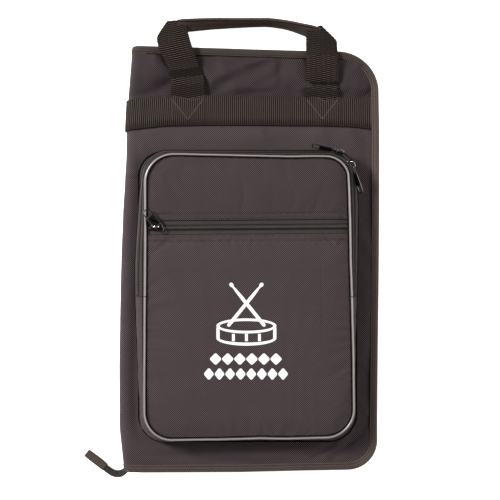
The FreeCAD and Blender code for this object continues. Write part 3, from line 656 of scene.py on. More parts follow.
# ---------------------------------------------------------------- the edge line of a half
def edge_line(inset, front, zc, step=2.0, spine=True):
    """Centre line along a cover's free edge, with outward and face normals: from the spine's middle at the foot, round, to the spine's middle at the top."""
    pts, out, face = [], [], []
    s = 1.0 if front else -1.0
    zf = zc
    def roll(y, oy, rev):
        phi = np.linspace(0, math.pi / 2, 18)
        h = abs(zf - ZMID)
        a = 15.8 - 2.2
        c, q = np.cos(phi), np.sin(phi)
        X = XC - a * np.abs(c) ** (2 / NSUP); Z = ZMID + s * h * np.abs(q) ** (2 / NSUP)
        nx, nz = -np.abs(c) ** (2 - 2 / NSUP) / a, s * np.abs(q) ** (2 - 2 / NSUP) / max(h, 1e-6)
        L = np.hypot(nx, nz); nx, nz = nx / L, nz / L
        order = range(len(phi)) if not rev else range(len(phi) - 1, -1, -1)
        for i in order:
            pts.append((X[i], y, Z[i])); out.append((0, oy, 0)); face.append((nx[i], 0, nz[i]))
    yb, yt, xr = YB + inset, YT - inset, XR - inset
    rb, rt = RB - inset, RT - inset
    if spine: roll(yb, -1, False)
    def seg(x0, y0, x1, y1, o):
        n = max(2, int(math.hypot(x1 - x0, y1 - y0) / step))
        for i in range(1, n + 1):
            t = i / n
            pts.append((x0 + (x1 - x0) * t, y0 + (y1 - y0) * t, zf)); out.append(o); face.append((0, 0, s))
    def arc(cx, cy, r, a0, a1):
        n = max(6, int(r * abs(a1 - a0) / step))
        for i in range(1, n + 1):
            t = a0 + (a1 - a0) * i / n
            pts.append((cx + r * math.cos(t), cy + r * math.sin(t), zf)); out.append((math.cos(t), math.sin(t), 0)); face.append((0, 0, s))
    if not spine:
        pts.append((XC - 9.0, yb, zf)); out.append((0, -1, 0)); face.append((0, 0, s))
        seg(XC - 9.0, yb, XR - RB, yb, (0, -1, 0))
    else:
        seg(XC, yb, XR - RB, yb, (0, -1, 0))
    arc(XR - RB, YB + RB, rb, -math.pi / 2, 0)
    seg(xr, YB + RB, xr, YT - RT, (1, 0, 0))
    arc(XR - RT, YT - RT, rt, 0, math.pi / 2)
    if spine:
        seg(XR - RT, yt, XC, yt, (0, 1, 0)); roll(yt, 1, True)
    else:
        seg(XR - RT, yt, XC - 9.0, yt, (0, 1, 0))
    return np.array(pts), np.array(out, float), np.array(face, float)

def sweep(name, P, A, B, prof, mat, wob=None, warped=True, closed=True):
    """prof: points (a, b) of the section, a along A (outward), b along B."""
    prof = np.array(prof, float)
    n, k = len(P), len(prof)
    a = np.repeat(prof[None, :, 0], n, 0); b = np.repeat(prof[None, :, 1], n, 0)
    if wob is not None:
        a, b = wob(a, b, arclen(P))
    Q = P[:, None] + a[..., None] * A[:, None] + b[..., None] * B[:, None]
    if warped: Q = warp(Q)
    f, (I, J, I2, J2) = grid_faces(n, k, False, True)
    U = arclen(P); V = arclen(np.vstack([prof, prof[:1]]))
    uv = np.stack([np.stack([U[I], V[J]], 1), np.stack([U[I2], V[J]], 1), np.stack([U[I2], V[J2]], 1), np.stack([U[I], V[J2]], 1)], 1)
    o = make(name, Q.reshape(-1, 3), f, uv, mat)
    bm = bmesh.new(); bm.from_mesh(o.data)
    bmesh.ops.holes_fill(bm, edges=[e for e in bm.edges if e.is_boundary], sides=0)
    bmesh.ops.recalc_face_normals(bm, faces=bm.faces)
    for fc in bm.faces: fc.smooth = True
    bm.to_mesh(o.data); bm.free()
    return o

BIND = [(-8.7, 1.9), (-8.55, 2.50), (-8.0, 2.80), (-7.2, 2.72), (-6.6, 2.45), (-6.0, 2.72), (-4.4, 2.85), (-2.4, 2.72), (-1.0, 2.25), (-0.3, 1.3), (0.0, 0.3), (0.0, -0.6),
        (-0.35, -1.5), (-1.2, -2.3), (-2.4, -2.7), (-4.4, -2.82), (-6.0, -2.70), (-6.6, -2.45), (-7.2, -2.7), (-8.0, -2.75), (-8.55, -2.45), (-8.7, -1.9), (-8.2, -0.6), (-8.2, 0.6)]

def binding(name, front):
    zc = 33.5 if front else 2.82
    P, A, B = edge_line(0.0, front, zc)
    def wob(a, b, s):
        m = (a < -7.8)
        a = a + m * (0.4 * perlin(s / 23.0, 0.7, 21 + front))[:, None]
        b = b * (1 + 0.05 * perlin(s / 9.0, 1.7, 23 + front) + 0.035 * perlin(s / 3.6, 2.9, 25 + front))[:, None]
        return a, b
    o = sweep(name, P, A, B, BIND, "binding", wob)
    body = "front_half" if front else "back_half"
    return o, P, A, B, body

for front in (True, False):
    tag = "front" if front else "back"
    o, P, A, B, body = binding(tag + "_binding", front)
    st = warp(P - 6.6 * A + B * 2.50)
    row = stitches(tag + "_binding_stitches", st, B, pitch=2.7, length=1.55, r=0.40, lift=0.10, mat="thread_dark_and_painted_shade")
    st3 = warp(P - 3.9 * A + B * 2.80)
    row3 = stitches(tag + "_binding_stitches_outer", st3, B, pitch=2.7, length=1.3, r=0.34, lift=0.08, mat="thread_dark_and_painted_shade", start=1.35)
    st2 = warp(P - 6.6 * A - B * 2.50)
    row2 = stitches(tag + "_binding_stitches_inside", st2, -B, pitch=3.5, length=2.6, r=0.32, lift=0.10)
    for q in (o, row, row2, row3):
        if front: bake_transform(q)
        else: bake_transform(q)
    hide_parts(tag + "_edge_binding")

# ---------------------------------------------------------------- main zip
def tooth():
    """One coil turn: a rounded bar across the zip, with a thicker head. Local x across, y along the zip, z outwards."""
    secs = [(-1.75, 0.34, 0.50), (-1.60, 0.42, 0.66), (-0.6, 0.40, 0.62), (0.4, 0.40, 0.66), (1.1, 0.47, 0.86), (1.6, 0.44, 0.80), (1.85, 0.28, 0.48)]
    co, f = [], []
    for x, w, h in secs:
        for j in range(8):
            t = 2 * math.pi * (j + 0.5) / 8
            co.append((x, w * math.cos(t), h * math.sin(t)))
    n = len(secs)
    for i in range(n - 1):
        for j in range(8):
            f.append([(i + 1) * 8 + j, (i + 1) * 8 + (j + 1) % 8, i * 8 + (j + 1) % 8, i * 8 + j])
    e = (n - 1) * 8
    f += [[0, 1, 2, 3], [0, 3, 4, 7], [4, 5, 6, 7]]
    f += [[e + 3, e + 2, e + 1, e], [e + 7, e + 4, e + 3, e], [e + 7, e + 6, e + 5, e + 4]]
    return np.array(co), np.array(f)

TOOTH = tooth()
PITCH = 1.75

def teeth_row(name, P, across, outn, phase, mat="zip_teeth", start=0.0, end=0.0):
    """Coil teeth on the line P; across points to the other row."""
    s = arclen(P)
    q = np.arange(start + phase * PITCH, s[-1] - end, PITCH)
    C = np.stack([np.interp(q, s, P[:, i]) for i in range(3)], 1)
    X = np.stack([np.interp(q, s, across[:, i]) for i in range(3)], 1); X /= np.linalg.norm(X, axis=1, keepdims=True)
    Z = np.stack([np.interp(q, s, outn[:, i]) for i in range(3)], 1)
    Z = Z - (Z * X).sum(1, keepdims=True) * X; Z /= np.linalg.norm(Z, axis=1, keepdims=True)
    Y = np.cross(Z, X)
    return instances(name, TOOTH[0], TOOTH[1], np.stack([X, Y, Z], 2), C, mat)

def main_zip(front):
    tag = "front" if front else "back"
    P, A, B = edge_line(4.1, front, 33.5 if front else 2.8, spine=False)
    z_edge = 31.0 if front else 5.2
    s = arclen(P)
    vs = np.linspace(0, 1, 12)
    zt = ZMID + (1.25 if front else -1.25)
    rows = []
    for v in vs:
        z = z_edge + (zt - z_edge) * v
        bulge = 1.1 * math.sin(math.pi * min(1.0, v * 0.8)) + 0.0
        w = bulge + 0.35 * perlin(s / 16.0, v * 1.6 + (3 if front else 7), 31) * math.sin(math.pi * v)
        Q = P.copy(); Q[:, 2] = z
        rows.append(Q + A * w[:, None])
    G = np.array(rows).transpose(1, 0, 2)
    G = warp(G)
    # the tape reaches a little under the binding
    first = G[:, :1].copy(); first[:, :, 2] += 1.4 if front else -1.4
    G = np.concatenate([first, G], 1)
    o = grid(tag + "_main_zip_tape", G, mat="zip_tape", flip=front, thick=0.7, offset=-1.0)
    edge = G[:, -1]
    up = np.tile([0, 0, 1.0 if front else -1.0], (len(P), 1))
    line = edge - up * 0.35 + A * 0.30
    t = teeth_row(tag + "_main_zip_teeth", line, -up, A, 0.0 if front else 0.5, start=3, end=3)
    # the tape's sewing line
    mid = G[:, 4] + A * 0.05
    r = stitches(tag + "_main_zip_stitches", mid, A, pitch=3.2, length=2.3, r=0.24, lift=0.05)
    body = "front_half" if front else "back_half"
    for q in (o, t, r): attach(q, body)
    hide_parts("main_zip_tape_" + tag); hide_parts("main_zip_teeth_" + tag)

main_zip(True); main_zip(False)

# ---------------------------------------------------------------- linings
def lining_piece(name, front):
    ins = 4.4
    ys = np.linspace(YB + ins, YT - ins, 150)
    c = np.linspace(0, 1, 84)
    phi = np.linspace(math.pi / 2, 0, 16)[1:]
    rows = []
    for y, x1 in zip(ys, right_edge(ys, ins)):
        x = x1 + (XC - x1) * c
        d = edge_distance(x, np.full_like(x, y))
        wav = 0.5 * perlin(x / 36.0, y / 44.0, 41) + 0.25 * perlin(x / 15.0, y / 17.0, 42)
        if front:
            z = 31.4 - 0.9 * smooth(6, 22, d) + 0.4 * wav
        else:
            z = 4.8 + 0.5 * smooth(6, 22, d) + 0.4 * wav
        h = abs(z[-1] - ZMID)
        sx = XC - 10.6 * np.abs(np.cos(phi)) ** (2 / NSUP)
        sz = ZMID + (1 if front else -1) * h * np.abs(np.sin(phi)) ** (2 / NSUP)
        X = np.concatenate([x, sx]); Z = np.concatenate([z, sz])
        rows.append(np.stack([X, np.full_like(X, y), Z], 1))
    P = warp(np.array(rows))
    U = np.repeat(ys[:, None], P.shape[1], 1)
    return grid(name, P, U, None, mat="lining_cloth", flip=front, thick=0.6, offset=-1.0)

fl = lining_piece("front_lining_cloth", True); bl = lining_piece("back_lining_cloth", False)
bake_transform(fl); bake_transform(bl)
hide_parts("front_lining"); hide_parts("back_lining", "spine_lining")

# ---------------------------------------------------------------- webbing band round each half
RIB = 2.35

def ribs(s, h=0.26):
    return h * np.cos(2 * math.pi * s / RIB)

def leg_bump(x, y):
    z = np.zeros_like(x)
    for x0, x1 in LEGS:
        z = z + smooth(2.5, -1.0, np.maximum(x0 - x, x - x1))
    return z

def band(front):
    step = RIB / 6
    xs = np.arange(XR - 7.5, XC, -step)
    phi = np.linspace(math.pi / 2, 0, 84)[1:]
    vs = np.linspace(-1, 1, 27)
    yc = BAND_MID + band_shift(xs); hb = band_half(xs)
    X = np.repeat(xs[:, None], len(vs), 1)
    Y = yc[:, None] + vs[None] * hb[:, None]
    lip = 0.35 * np.exp(-((np.abs(vs) - 0.95) / 0.05) ** 2)[None]
    if front:
        Z = front_height(X, Y) + 1.5 + 1.5 * leg_bump(X, Y) * smooth(-1.1, -0.4, vs)[None]
        Z = Z + lip
        a0, h0, sgn = 17.6, None, 1.0
    else:
        Z = np.maximum(back_height(X, Y) - 1.5, 0.25)
        a0, sgn = 17.6, -1.0
    ye = BAND_MID + band_shift(XC)
    rx, ry, rz = [], [], []
    for j, v in enumerate(vs):
        z0 = Z[-1, j]
        y = yc[-1] + v * hb[-1]
        a = a0 + 0.9 * perlin(y / 70.0, 0.3, 8)
        sx = XC - a * np.abs(np.cos(phi)) ** (2 / NSUP)
        sz = ZMID + (z0 - ZMID) * np.abs(np.sin(phi)) ** (2 / NSUP)
        fy, ty = band_edges(sx)
        rx.append(sx); ry.append((fy + ty) / 2 + v * (ty - fy) / 2); rz.append(sz)
    X = np.vstack([X, np.array(rx).T]); Y = np.vstack([Y, np.array(ry).T]); Z = np.vstack([Z, np.array(rz).T])
    P = np.stack([X, Y, Z], 2)
    s = arclen(P[:, len(vs) // 2])
    # rib relief along the surface normal
    T = np.gradient(P, axis=0); W = np.gradient(P, axis=1)
    N = np.cross(W, T); N /= np.linalg.norm(N, axis=2, keepdims=True)
    if not front: N = -N
    P = P + N * (ribs(s)[:, None] * smooth(1.0, 0.9, np.abs(vs))[None])[..., None]
    P = warp(P)
    o = grid(("front" if front else "back") + "_webbing", P, s, (vs + 1) * BAND_HALF, mat="webbing", flip=front, thick=1.25, offset=-1.0)
    return o, P, vs

webbing_mat("webbing_band", (0.0016, 0.0012, 0.0010), (0.092, 0.0682, 0.0596), col=90.0, depth=0.38)
BANDS = {}
for front in (True, False):
    o, P, vs = band(front)
    tag = "front" if front else "back"
    o.data.materials[0] = MATS["webbing_band"]
    N = np.tile([0, 0, 1.0 if front else -1.0], (P.shape[0], 1))
    T = np.gradient(P, axis=0); W = np.gradient(P, axis=1)
    NN = np.cross(W, T); NN /= np.linalg.norm(NN, axis=2, keepdims=True)
    if not front: NN = -NN
    rows = []
    for v in (-0.90, 0.90):
        j = int(round((v + 1) / 2 * (len(vs) - 1)))
        rows.append(stitches(tag + "_band_stitches_%s" % ("low" if v < 0 else "high"), P[::4, j], NN[::4, j], pitch=3.3, length=2.4, r=0.27, lift=0.06))
    BANDS[tag] = (o, rows, P)
    for q in [o] + rows:
        if front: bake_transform(q)
        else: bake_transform(q)
    if front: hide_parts("front_webbing_band", "spine_webbing_band")
    else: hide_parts("back_webbing_band")

# ---------------------------------------------------------------- dropping lines onto a surface
from mathutils.bvhtree import BVHTree

class Surface:
    def __init__(s, *objs, up=1.0):
        s.up = up
        co, fs, n = [], [], 0
        for o in objs:
            me = o.data
            a = np.empty(len(me.vertices) * 3); me.vertices.foreach_get("co", a)
            co.append(a.reshape(-1, 3))
            fs += [[v + n for v in p.vertices] for p in me.polygons]
            n += len(me.vertices)
        s.tree = BVHTree.FromPolygons([tuple(c) for c in np.vstack(co)], fs)
    def drop(s, x, y):
        """Height and normal, mm, at x, y in mm."""
        o = Vector((x * MM, y * MM, 0.3 * s.up)); d = Vector((0, 0, -s.up))
        hit, n, i, dist = s.tree.ray_cast(o, d)
        if hit is None: return None
        if n.z * s.up < 0: n = -n
        return hit.z / MM, np.array(n)
    def line(s, pts, step=1.0, lift=0.0):
        """A polyline in x, y, dropped onto the surface: points and normals."""
        pts = np.asarray(pts, float)
        L = arclen(pts); q = np.linspace(0, L[-1], max(2, int(L[-1] / step)))
        X, Y = np.interp(q, L, pts[:, 0]), np.interp(q, L, pts[:, 1])
        P, N = [], []
        for x, y in zip(X, Y):
            h = s.drop(x, y)
            if h: P.append((x, y, h[0])); N.append(h[1])
        return np.array(P), np.array(N)

sf = Surface(BANDS["front"][0]); sb = Surface(BANDS["back"][0], up=-1.0)
for x0, x1, tag in ((-88.0, -53.5, "left"), (64.5, 99.0, "right")):
    xm = (x0 + x1) / 2 + 1.4
    dy = band_shift(xm)
    vee = [(x0, 181.5 + dy), (xm - 1.0, 159.5 + dy), (x1, 181.5 + dy)]
    foot = [(xm - 11.5, 157.4 + dy), (xm + 12.5, 157.0 + dy)]
    for su, half, nm in ((sf, "front", "front"), (sb, "back", "rear")):
        for k, path in enumerate((vee, foot)):
            P, N = su.line(path)
            q = stitches("%s_%s_tack_%d" % (nm, tag, k), P, N, pitch=2.9, length=2.4, r=0.46 - 0.1 * k, lift=0.16, mat=("thread_light", "thread")[k], tilt=4.0)
            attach(q, half + "_half")

# ---------------------------------------------------------------- handles
# painted shade: darker copies of the leg webbing, for the legs' stretches that slope away from the light and for their
# creases
webbing_mat("webbing_painted_shade", (0.007, 0.0051, 0.0044), (0.038, 0.028, 0.0242), shift=0.5, depth=0.10)
webbing_mat("webbing_crease_painted_shade", (0.0028, 0.0020, 0.0018), (0.022, 0.0162, 0.0140), shift=0.5, depth=0.10)
webbing_mat("webbing_grip", (0.017, 0.0124, 0.0109), (0.112, 0.0831, 0.0730), pitch=1.5, col=2.6, shift=0.5, depth=0.08)

def spline_rows(K, n):
    """Catmull-Rom through the rows of K."""
    K = np.asarray(K, float)
    E = np.vstack([2 * K[0] - K[1], K, 2 * K[-1] - K[-2]])
    out = []
    t = np.linspace(0, len(K) - 1 - 1e-9, n)
    for q in t:
        i = int(q); f = q - i
        p0, p1, p2, p3 = E[i], E[i + 1], E[i + 2], E[i + 3]
        out.append(0.5 * ((2 * p1) + (-p0 + p2) * f + (2 * p0 - 5 * p1 + 4 * p2 - p3) * f * f + (-p0 + 3 * p1 - 3 * p2 + p3) * f ** 3))
    return np.array(out)

def ribbon(name, K, mat, thick, rib=RIB, h=0.16, nv=25, crown=0.0, brick=False, cols=7, wav=0.0, seed=50, up=1.0):
    """Webbing between two edge lines. Each row of K: left x, y, z, right x, y, z."""
    R = spline_rows(K, 400)
    mid = (R[:, :3] + R[:, 3:]) / 2
    s = arclen(mid)
    n = max(20, int(s[-1] / (rib / 6)))
    q = np.linspace(0, s[-1], n)
    R = np.stack([np.interp(q, s, R[:, i]) for i in range(6)], 1)
    v = np.linspace(0, 1, nv)
    P = R[:, None, :3] * (1 - v)[None, :, None] + R[:, None, 3:] * v[None, :, None]
    T = np.gradient(P, axis=0); W = np.gradient(P, axis=1)
    N = np.cross(W, T); N /= np.linalg.norm(N, axis=2, keepdims=True)
    N = np.where((N[..., 2:] * up) < 0, -N, N)
    width = np.linalg.norm(R[:, 3:] - R[:, :3], axis=1).mean()
    c = np.floor(v * cols - 1e-6)
    ph = (c % 2) * math.pi if brick else 0 * c
    edge = np.clip(np.abs(np.sin(math.pi * v * cols)) * 2.2 + 0.2, 0, 1)
    rel = h * np.cos(2 * math.pi * q[:, None] / rib + ph[None]) * edge[None]
    cr = crown * (1 - (2 * v - 1) ** 2)
    w = wav * perlin(q[:, None] / 15.0 + 0 * v[None], v[None] * 2.0 + 0 * q[:, None], seed)
    P = P + N * (rel + cr[None] + w)[..., None]
    return P, q, v * width

def swap(o, mat):
    o.data.materials.clear(); o.data.materials.append(MATS[mat])

def handle(rear):
    tag = "rear" if rear else "front"
    def Z(z):
        # heights are given over the cover's face; the rear one lies on the floor
        return (37.6 + z) if not rear else 3.3 - 0.30 * max(min(z, 6.0), -4.0)
    if not rear:
        zb = float(front_height(np.array([-71.0]), np.array([176.0]))[0]) - 37.6 + 1.0
    else:
        zb = 3.6
    KL = [(-90, 163, zb, -50.6, 163, zb), (-90, 174, zb, -50.6, 174, zb), (-90, 184, zb + 0.4, -50.6, 184, zb + 0.4), (-89.8, 192, 2.8, -50.9, 192.5, 3.0),
          (-89.2, 199.5, 5.0, -51.4, 200.5, 5.2), (-89.0, 206, 3.8, -52.2, 206.5, 3.6), (-90.2, 211.5, 0.4, -54.2, 211.5, 0.6), (-93.5, 219, 0.8, -57.4, 219, 1.2),
          (-98.6, 228.5, 4.6, -60.9, 228, 4.8), (-103.2, 239.5, 6.8, -65.2, 239.4, 6.8), (-105.1, 250.2, 5.8, -69.0, 252.0, 4.8), (-99.8, 260.0, 5.0, -71.4, 262.0, 3.9), (-93.9, 269.2, 2.8, -72.0, 270.8, 2.8)]
    KR = [(62.5, 163, zb, 100.5, 163, zb), (62.5, 174, zb, 100.5, 174, zb), (62.5, 184, zb + 0.4, 100.5, 184, zb + 0.4), (62.8, 192, 2.2, 100.4, 191.5, 2.0), (63.2, 199.5, 1.0, 100.3, 198.5, 1.2),
          (63.4, 205, 4.4, 100.2, 204, 4.2), (63.6, 213.5, 6.0, 100.0, 212, 5.6), (63.7, 222.5, 6.2, 99.8, 220.5, 5.8), (63.7, 230, 4.8, 99.5, 228, 4.6), (63.7, 237, 2.6, 99.1, 234, 2.6),
          (63.8, 246, 3.0, 98.4, 240.5, 3.2), (64.7, 257.5, 4.6, 97.3, 246.8, 4.6), (72.6, 261.6, 5.2, 90.6, 254.2, 5.0), (80.0, 264.2, 4.0, 82.4, 262.4, 4.0)]
    def sized(K):
        out = []
        for r in K:
            q = []
            for x, y, z in (r[:3], r[3:]):
                y = y + 1.2 * float(smooth(200, 240, y))
                if rear:
                    g = 1 + 0.0175 * float(smooth(186, 204, y))
                    x, y = x * g, 11.3 + (y - 11.3) * g
                q += [x, y, Z(z)]
            out.append(q)
        return out
    KL, KR = sized(KL), sized(KR)
    up = 1.0
    legs = []
    for k, (K, nm) in enumerate(((KL, "left"), (KR, "right"))):
        P, q, v = ribbon(nm, K, "webbing_leg", 2.0, h=0.28, brick=True, wav=0.5, seed=50 + k, crown=0.3 if not rear else 0.1)
        if rear: P[..., 2] = np.maximum(P[..., 2], 1.75)
        T = np.gradient(P, axis=0); W = np.gradient(P, axis=1)
        nz = np.cross(T, W)[..., 2].mean()
        o = grid("%s_handle_%s_leg" % (tag, nm), P, q, v, mat="webbing_leg", flip=nz < 0, thick=1.7, offset=-1.0)
        # painted shade: darker copies of the webbing, with shallower ribs, on the stretches of the legs that slope away
        # from the light, and darker ones still in the creases
        o.data.materials.append(MATS["webbing_painted_shade"]); o.data.materials.append(MATS["webbing_crease_painted_shade"])
        shaded_spans = ((184.5, 198.0), (208.5, 218.0)) if nm == "left" else ((184.5, 193.5), (198.3, 201.2), (231.5, 300.0))
        for p in o.data.polygons:
            y = p.center.y / MM
            y = y - (0.12 * (p.center.x / MM + 70) if nm == "left" else 0)
            if any(y0 < y < y1 for y0, y1 in shaded_spans): p.material_index = 1
            if (nm == "left" and 207.5 < y < 217.0) or (nm == "right" and 198.3 < y < 201.2): p.material_index = 2
        legs.append(o)
    # grip: the webbing folded double, standing partly on its edge
    C = [(-82, 264.6), (-70, 265.2), (-42.5, 267.0), (-12, 268.0), (6.2, 268.4), (23, 268.3), (42.5, 265.4), (57, 261.5), (70, 257.5), (78, 254.5)]
    C = [(x, y + 0.9) for x, y in C]
    HW = [7.0, 8.8, 8.4, 7.8, 7.3, 7.2, 7.2, 7.7, 8.2, 7.8]
    TL = [30, 46, 54, 60, 62, 62, 58, 50, 36, 26]
    ZC = [1.4, 1.1, 0.2, -0.6, -0.8, -0.6, 0.2, 0.8, 1.2, 1.2]
    if rear: C = [(x * 1.0175, 11.3 + (y - 11.3) * 1.0165) for x, y in C]
    K = spline_rows([(c[0], c[1], z, h, t) for c, z, h, t in zip(C, ZC, HW, TL)], 240)
    s = arclen(K[:, :2])
    n = int(s[-1] / 0.42)
    q = np.linspace(0, s[-1], n)
    K = np.stack([np.interp(q, s, K[:, i]) for i in range(5)], 1)
    T = np.gradient(K[:, :2], axis=0); T /= np.linalg.norm(T, axis=1, keepdims=True)
    side = np.stack([-T[:, 1], T[:, 0], np.zeros(n)], 1)
    # a folded section: rounded fold at the far side, two plies with a groove at the near side
    sec = []
    tk = 1.9
    for a in np.linspace(-90, 90, 9):
        sec.append((1.0 + tk / 9.0 * math.cos(math.radians(a)) - tk / 9.0, tk * math.sin(math.radians(a))))
    top = [(x, tk + 0.10 * math.sin(7 * x)) for x in np.linspace(0.80, -0.90, 12)]
    open_edge = [(-0.985, tk * 0.86), (-1.0, tk * 0.55), (-0.985, tk * 0.22), (-0.90, 0.05), (-0.985, -tk * 0.18), (-1.02, -tk * 0.52), (-1.005, -tk * 0.88)]
    bot = [(x, -tk) for x in np.linspace(-0.90, 0.80, 12)]
    sec = np.array(sec + top + open_edge + bot)
    th = np.radians(K[:, 4]) if not rear else np.radians(np.clip(K[:, 4] * 0.75, 0, 40))
    cz = K[:, 2] if not rear else np.zeros(n)
    A = side * np.cos(th)[:, None] + np.array([0, 0, 1.0])[None] * np.sin(th)[:, None]
    B = -side * np.sin(th)[:, None] + np.array([0, 0, 1.0])[None] * np.cos(th)[:, None]
    Pc = np.stack([K[:, 0], K[:, 1], (37.6 + cz) if not rear else np.full(n, 0.0)], 1)
    hw = K[:, 3] * (0.60 if rear else 1.0)
    if rear:
        Pc[:, 2] = hw * np.sin(th) + tk * np.cos(th) + 0.35
    rib = 0.10 * np.cos(2 * math.pi * q / 1.5)
    Q = Pc[:, None] + A[:, None] * (sec[None, :, :1] * hw[:, None, None]) + B[:, None] * ((sec[None, :, 1:] * (1 + 0.05 * perlin(q / 12.0, 0.4, 61))[:, None, None]) + np.sign(sec[None, :, 1:]) * rib[:, None, None])
    V = arclen(np.vstack([sec * [8.5, 1], sec[:1] * [8.5, 1]]))
    f, (I, J, I2, J2) = grid_faces(n, len(sec), False, True)
    uv = np.stack([np.stack([q[I], V[J]], 1), np.stack([q[I2], V[J]], 1), np.stack([q[I2], V[J2]], 1), np.stack([q[I], V[J2]], 1)], 1)
    g = make(tag + "_handle_grip", Q.reshape(-1, 3), f, uv, "webbing_grip")
    close_mesh(g)
    # a stitched line along the grip, near its open edge
    j = 9 + 11
    line = Q[6:-6:3, j - 1]
    st = stitches(tag + "_handle_grip_stitches", line, B[6:-6:3], pitch=3.2, length=2.3, r=0.26, lift=0.06)
    for o in legs + [g, st]:
        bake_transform(o)
    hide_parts(tag + "_handle")
    return legs, g

def close_mesh(o):
    bm = bmesh.new(); bm.from_mesh(o.data)
    bmesh.ops.holes_fill(bm, edges=[e for e in bm.edges if e.is_boundary], sides=0)
    bmesh.ops.recalc_face_normals(bm, faces=bm.faces)
    for fc in bm.faces: fc.smooth = True
    bm.to_mesh(o.data); bm.free()

handle(False); handle(True)

# ---------------------------------------------------------------- outside pocket: rings
COUNTS = dict(bottom=150, br=34, right_low=80, right_up=92, tr=30, top=134, tl=34, left_up=88, left_low=76, bl=36)

def ring(x0, x1, y0, y1, rbl, rbr, rtr, rtl):
    """Anticlockwise from the foot's left end, with the same number of points on each part for every ring."""
    pts, tag = [], []
    def seg(a, b, n, t):
        for i in range(n):
            f = i / n
            pts.append((a[0] + (b[0] - a[0]) * f, a[1] + (b[1] - a[1]) * f)); tag.append(t)
    def arc(cx, cy, r, a0, n, t):
        for i in range(n):
            a = math.radians(a0 + 90.0 * i / n)
            pts.append((cx + r * math.cos(a), cy + r * math.sin(a))); tag.append(t)
    seg((x0 + rbl, y0), (x1 - rbr, y0), COUNTS["bottom"], 0)
    arc(x1 - rbr, y0 + rbr, rbr, -90, COUNTS["br"], 1)
    seg((x1, y0 + rbr), (x1, FOLD_Y), COUNTS["right_low"], 2)
    seg((x1, FOLD_Y), (x1, y1 - rtr), COUNTS["right_up"], 3)
    arc(x1 - rtr, y1 - rtr, rtr, 0, COUNTS["tr"], 4)
    seg((x1 - rtr, y1), (x0 + rtl, y1), COUNTS["top"], 5)
    arc(x0 + rtl, y1 - rtl, rtl, 90, COUNTS["tl"], 6)
    seg((x0, y1 - rtl), (x0, FOLD_Y), COUNTS["left_up"], 7)
    seg((x0, FOLD_Y), (x0, y0 + rbl), COUNTS["left_low"], 8)
    arc(x0 + rbl, y0 + rbl, rbl, 180, COUNTS["bl"], 9)
    return np.array(pts), np.array(tag)

R_BASE, RTAG = ring(-125.0, 119.5, -204.0, 120.5, 27, 30, 22, 26)
R_MID, _ = ring(-125.6, 121.4, -205.0, 122.6, 29, 34, 27, 29)
R_TOP, _ = ring(-116.4, 112.2, -200.2, 118.0, 30, 31, 24.5, 31.0)
NR = len(R_TOP)
I_RIGHT = int(np.argmax(RTAG == 3)); I_LEFT = int(np.argmax(RTAG == 8))     # where the fold line crosses

def shape_top(p):
    x, y = p[:, 0].copy(), p[:, 1].copy()
    # the right side leans out to the foot
    x += smooth(20, 84, p[:, 0]) * 3.2 * smooth(70, -170, y) - smooth(-20, -84, p[:, 0]) * 1.0 * smooth(30, -120, y)
    x += smooth(20, 84, p[:, 0]) * np.interp(y, [-120, -40, 6, 44, 78, 92, 118], [0.0, -0.4, -1.0, -1.1, -2.0, -2.6, -2.7])
    # its top sags towards the right, and its foot rises there
    y += np.interp(p[:, 0], [-100, -72, -20, 45, 77, 112], [0.0, -0.1, -1.3, -2.7, -2.3, -2.8]) * smooth(60, 118, p[:, 1])
    y += 2.8 * smooth(25, 95, p[:, 0]) * smooth(-130, -195, p[:, 1])
    y += np.interp(p[:, 0], [-85, -33, 12, 50, 90], [0.0, 0.7, 2.1, 1.1, 0.0]) * smooth(-150, -197, p[:, 1])
    return np.stack([x, y], 1)

def shape_mid(p):
    x, y = p[:, 0].copy(), p[:, 1].copy()
    left = np.interp(y, [-206, -172, -136, -80, -40, -4, 24, 50, 78, 100, 125], [3.5, 3.0, 0.4, -1.6, -3.2, -3.4, -1.9, 0.0, 1.9, 4.3, 3.6])
    x += np.where(p[:, 0] < -60, left, 0) * smooth(-60, -112, p[:, 0])
    x += np.where(p[:, 0] > 60, np.interp(y, [-206, -160, -80, -10, 60, 95, 125], [-4.6, -4.4, -2.6, -0.8, 0.0, -1.3, -1.6]), 0)
    y += 3.0 * smooth(-150, -200, p[:, 1]) * smooth(-110, -60, p[:, 0])
    return np.stack([x, y], 1)

R_TOP = shape_top(R_TOP); R_MID = shape_mid(R_MID)
Z_TOPR, Z_MIDR = 62.5, 49.8
V_TAPE, V_TEETH, V_UP = 0.50, 0.665, 0.70

def base_z(p):
    return front_height(p[:, 0], p[:, 1]) - 0.9

def wall(v):
    """Ring of the pocket's wall at v, from the seam on the cover, 0, to the piping, 1."""
    v = np.asarray(v, float).reshape(-1, 1, 1)
    B = np.concatenate([R_BASE, base_z(R_BASE)[:, None]], 1)
    M = np.concatenate([R_MID, np.full((NR, 1), Z_MIDR)], 1)
    T = np.concatenate([R_TOP, np.full((NR, 1), Z_TOPR)], 1)
    C = 2 * M - (B + T) / 2
    return (1 - v) ** 2 * B[None] + 2 * v * (1 - v) * C[None] + v ** 2 * T[None]

TOP3 = np.concatenate([R_TOP, np.full((NR, 1), Z_TOPR)], 1)
S_RING = arclen(np.vstack([TOP3, TOP3[:1]]))

def ring_normals(v):
    """Outward normals of the wall."""
    a, b = wall([v - 0.02])[0], wall([v + 0.02])[0]
    up = b - a
    m = (a + b) / 2
    along = np.roll(m, -1, 0) - np.roll(m, 1, 0)
    n = np.cross(along, up); n /= np.linalg.norm(n, axis=1, keepdims=True)
    return n, up / np.linalg.norm(up, axis=1, keepdims=True), along / np.linalg.norm(along, axis=1, keepdims=True)

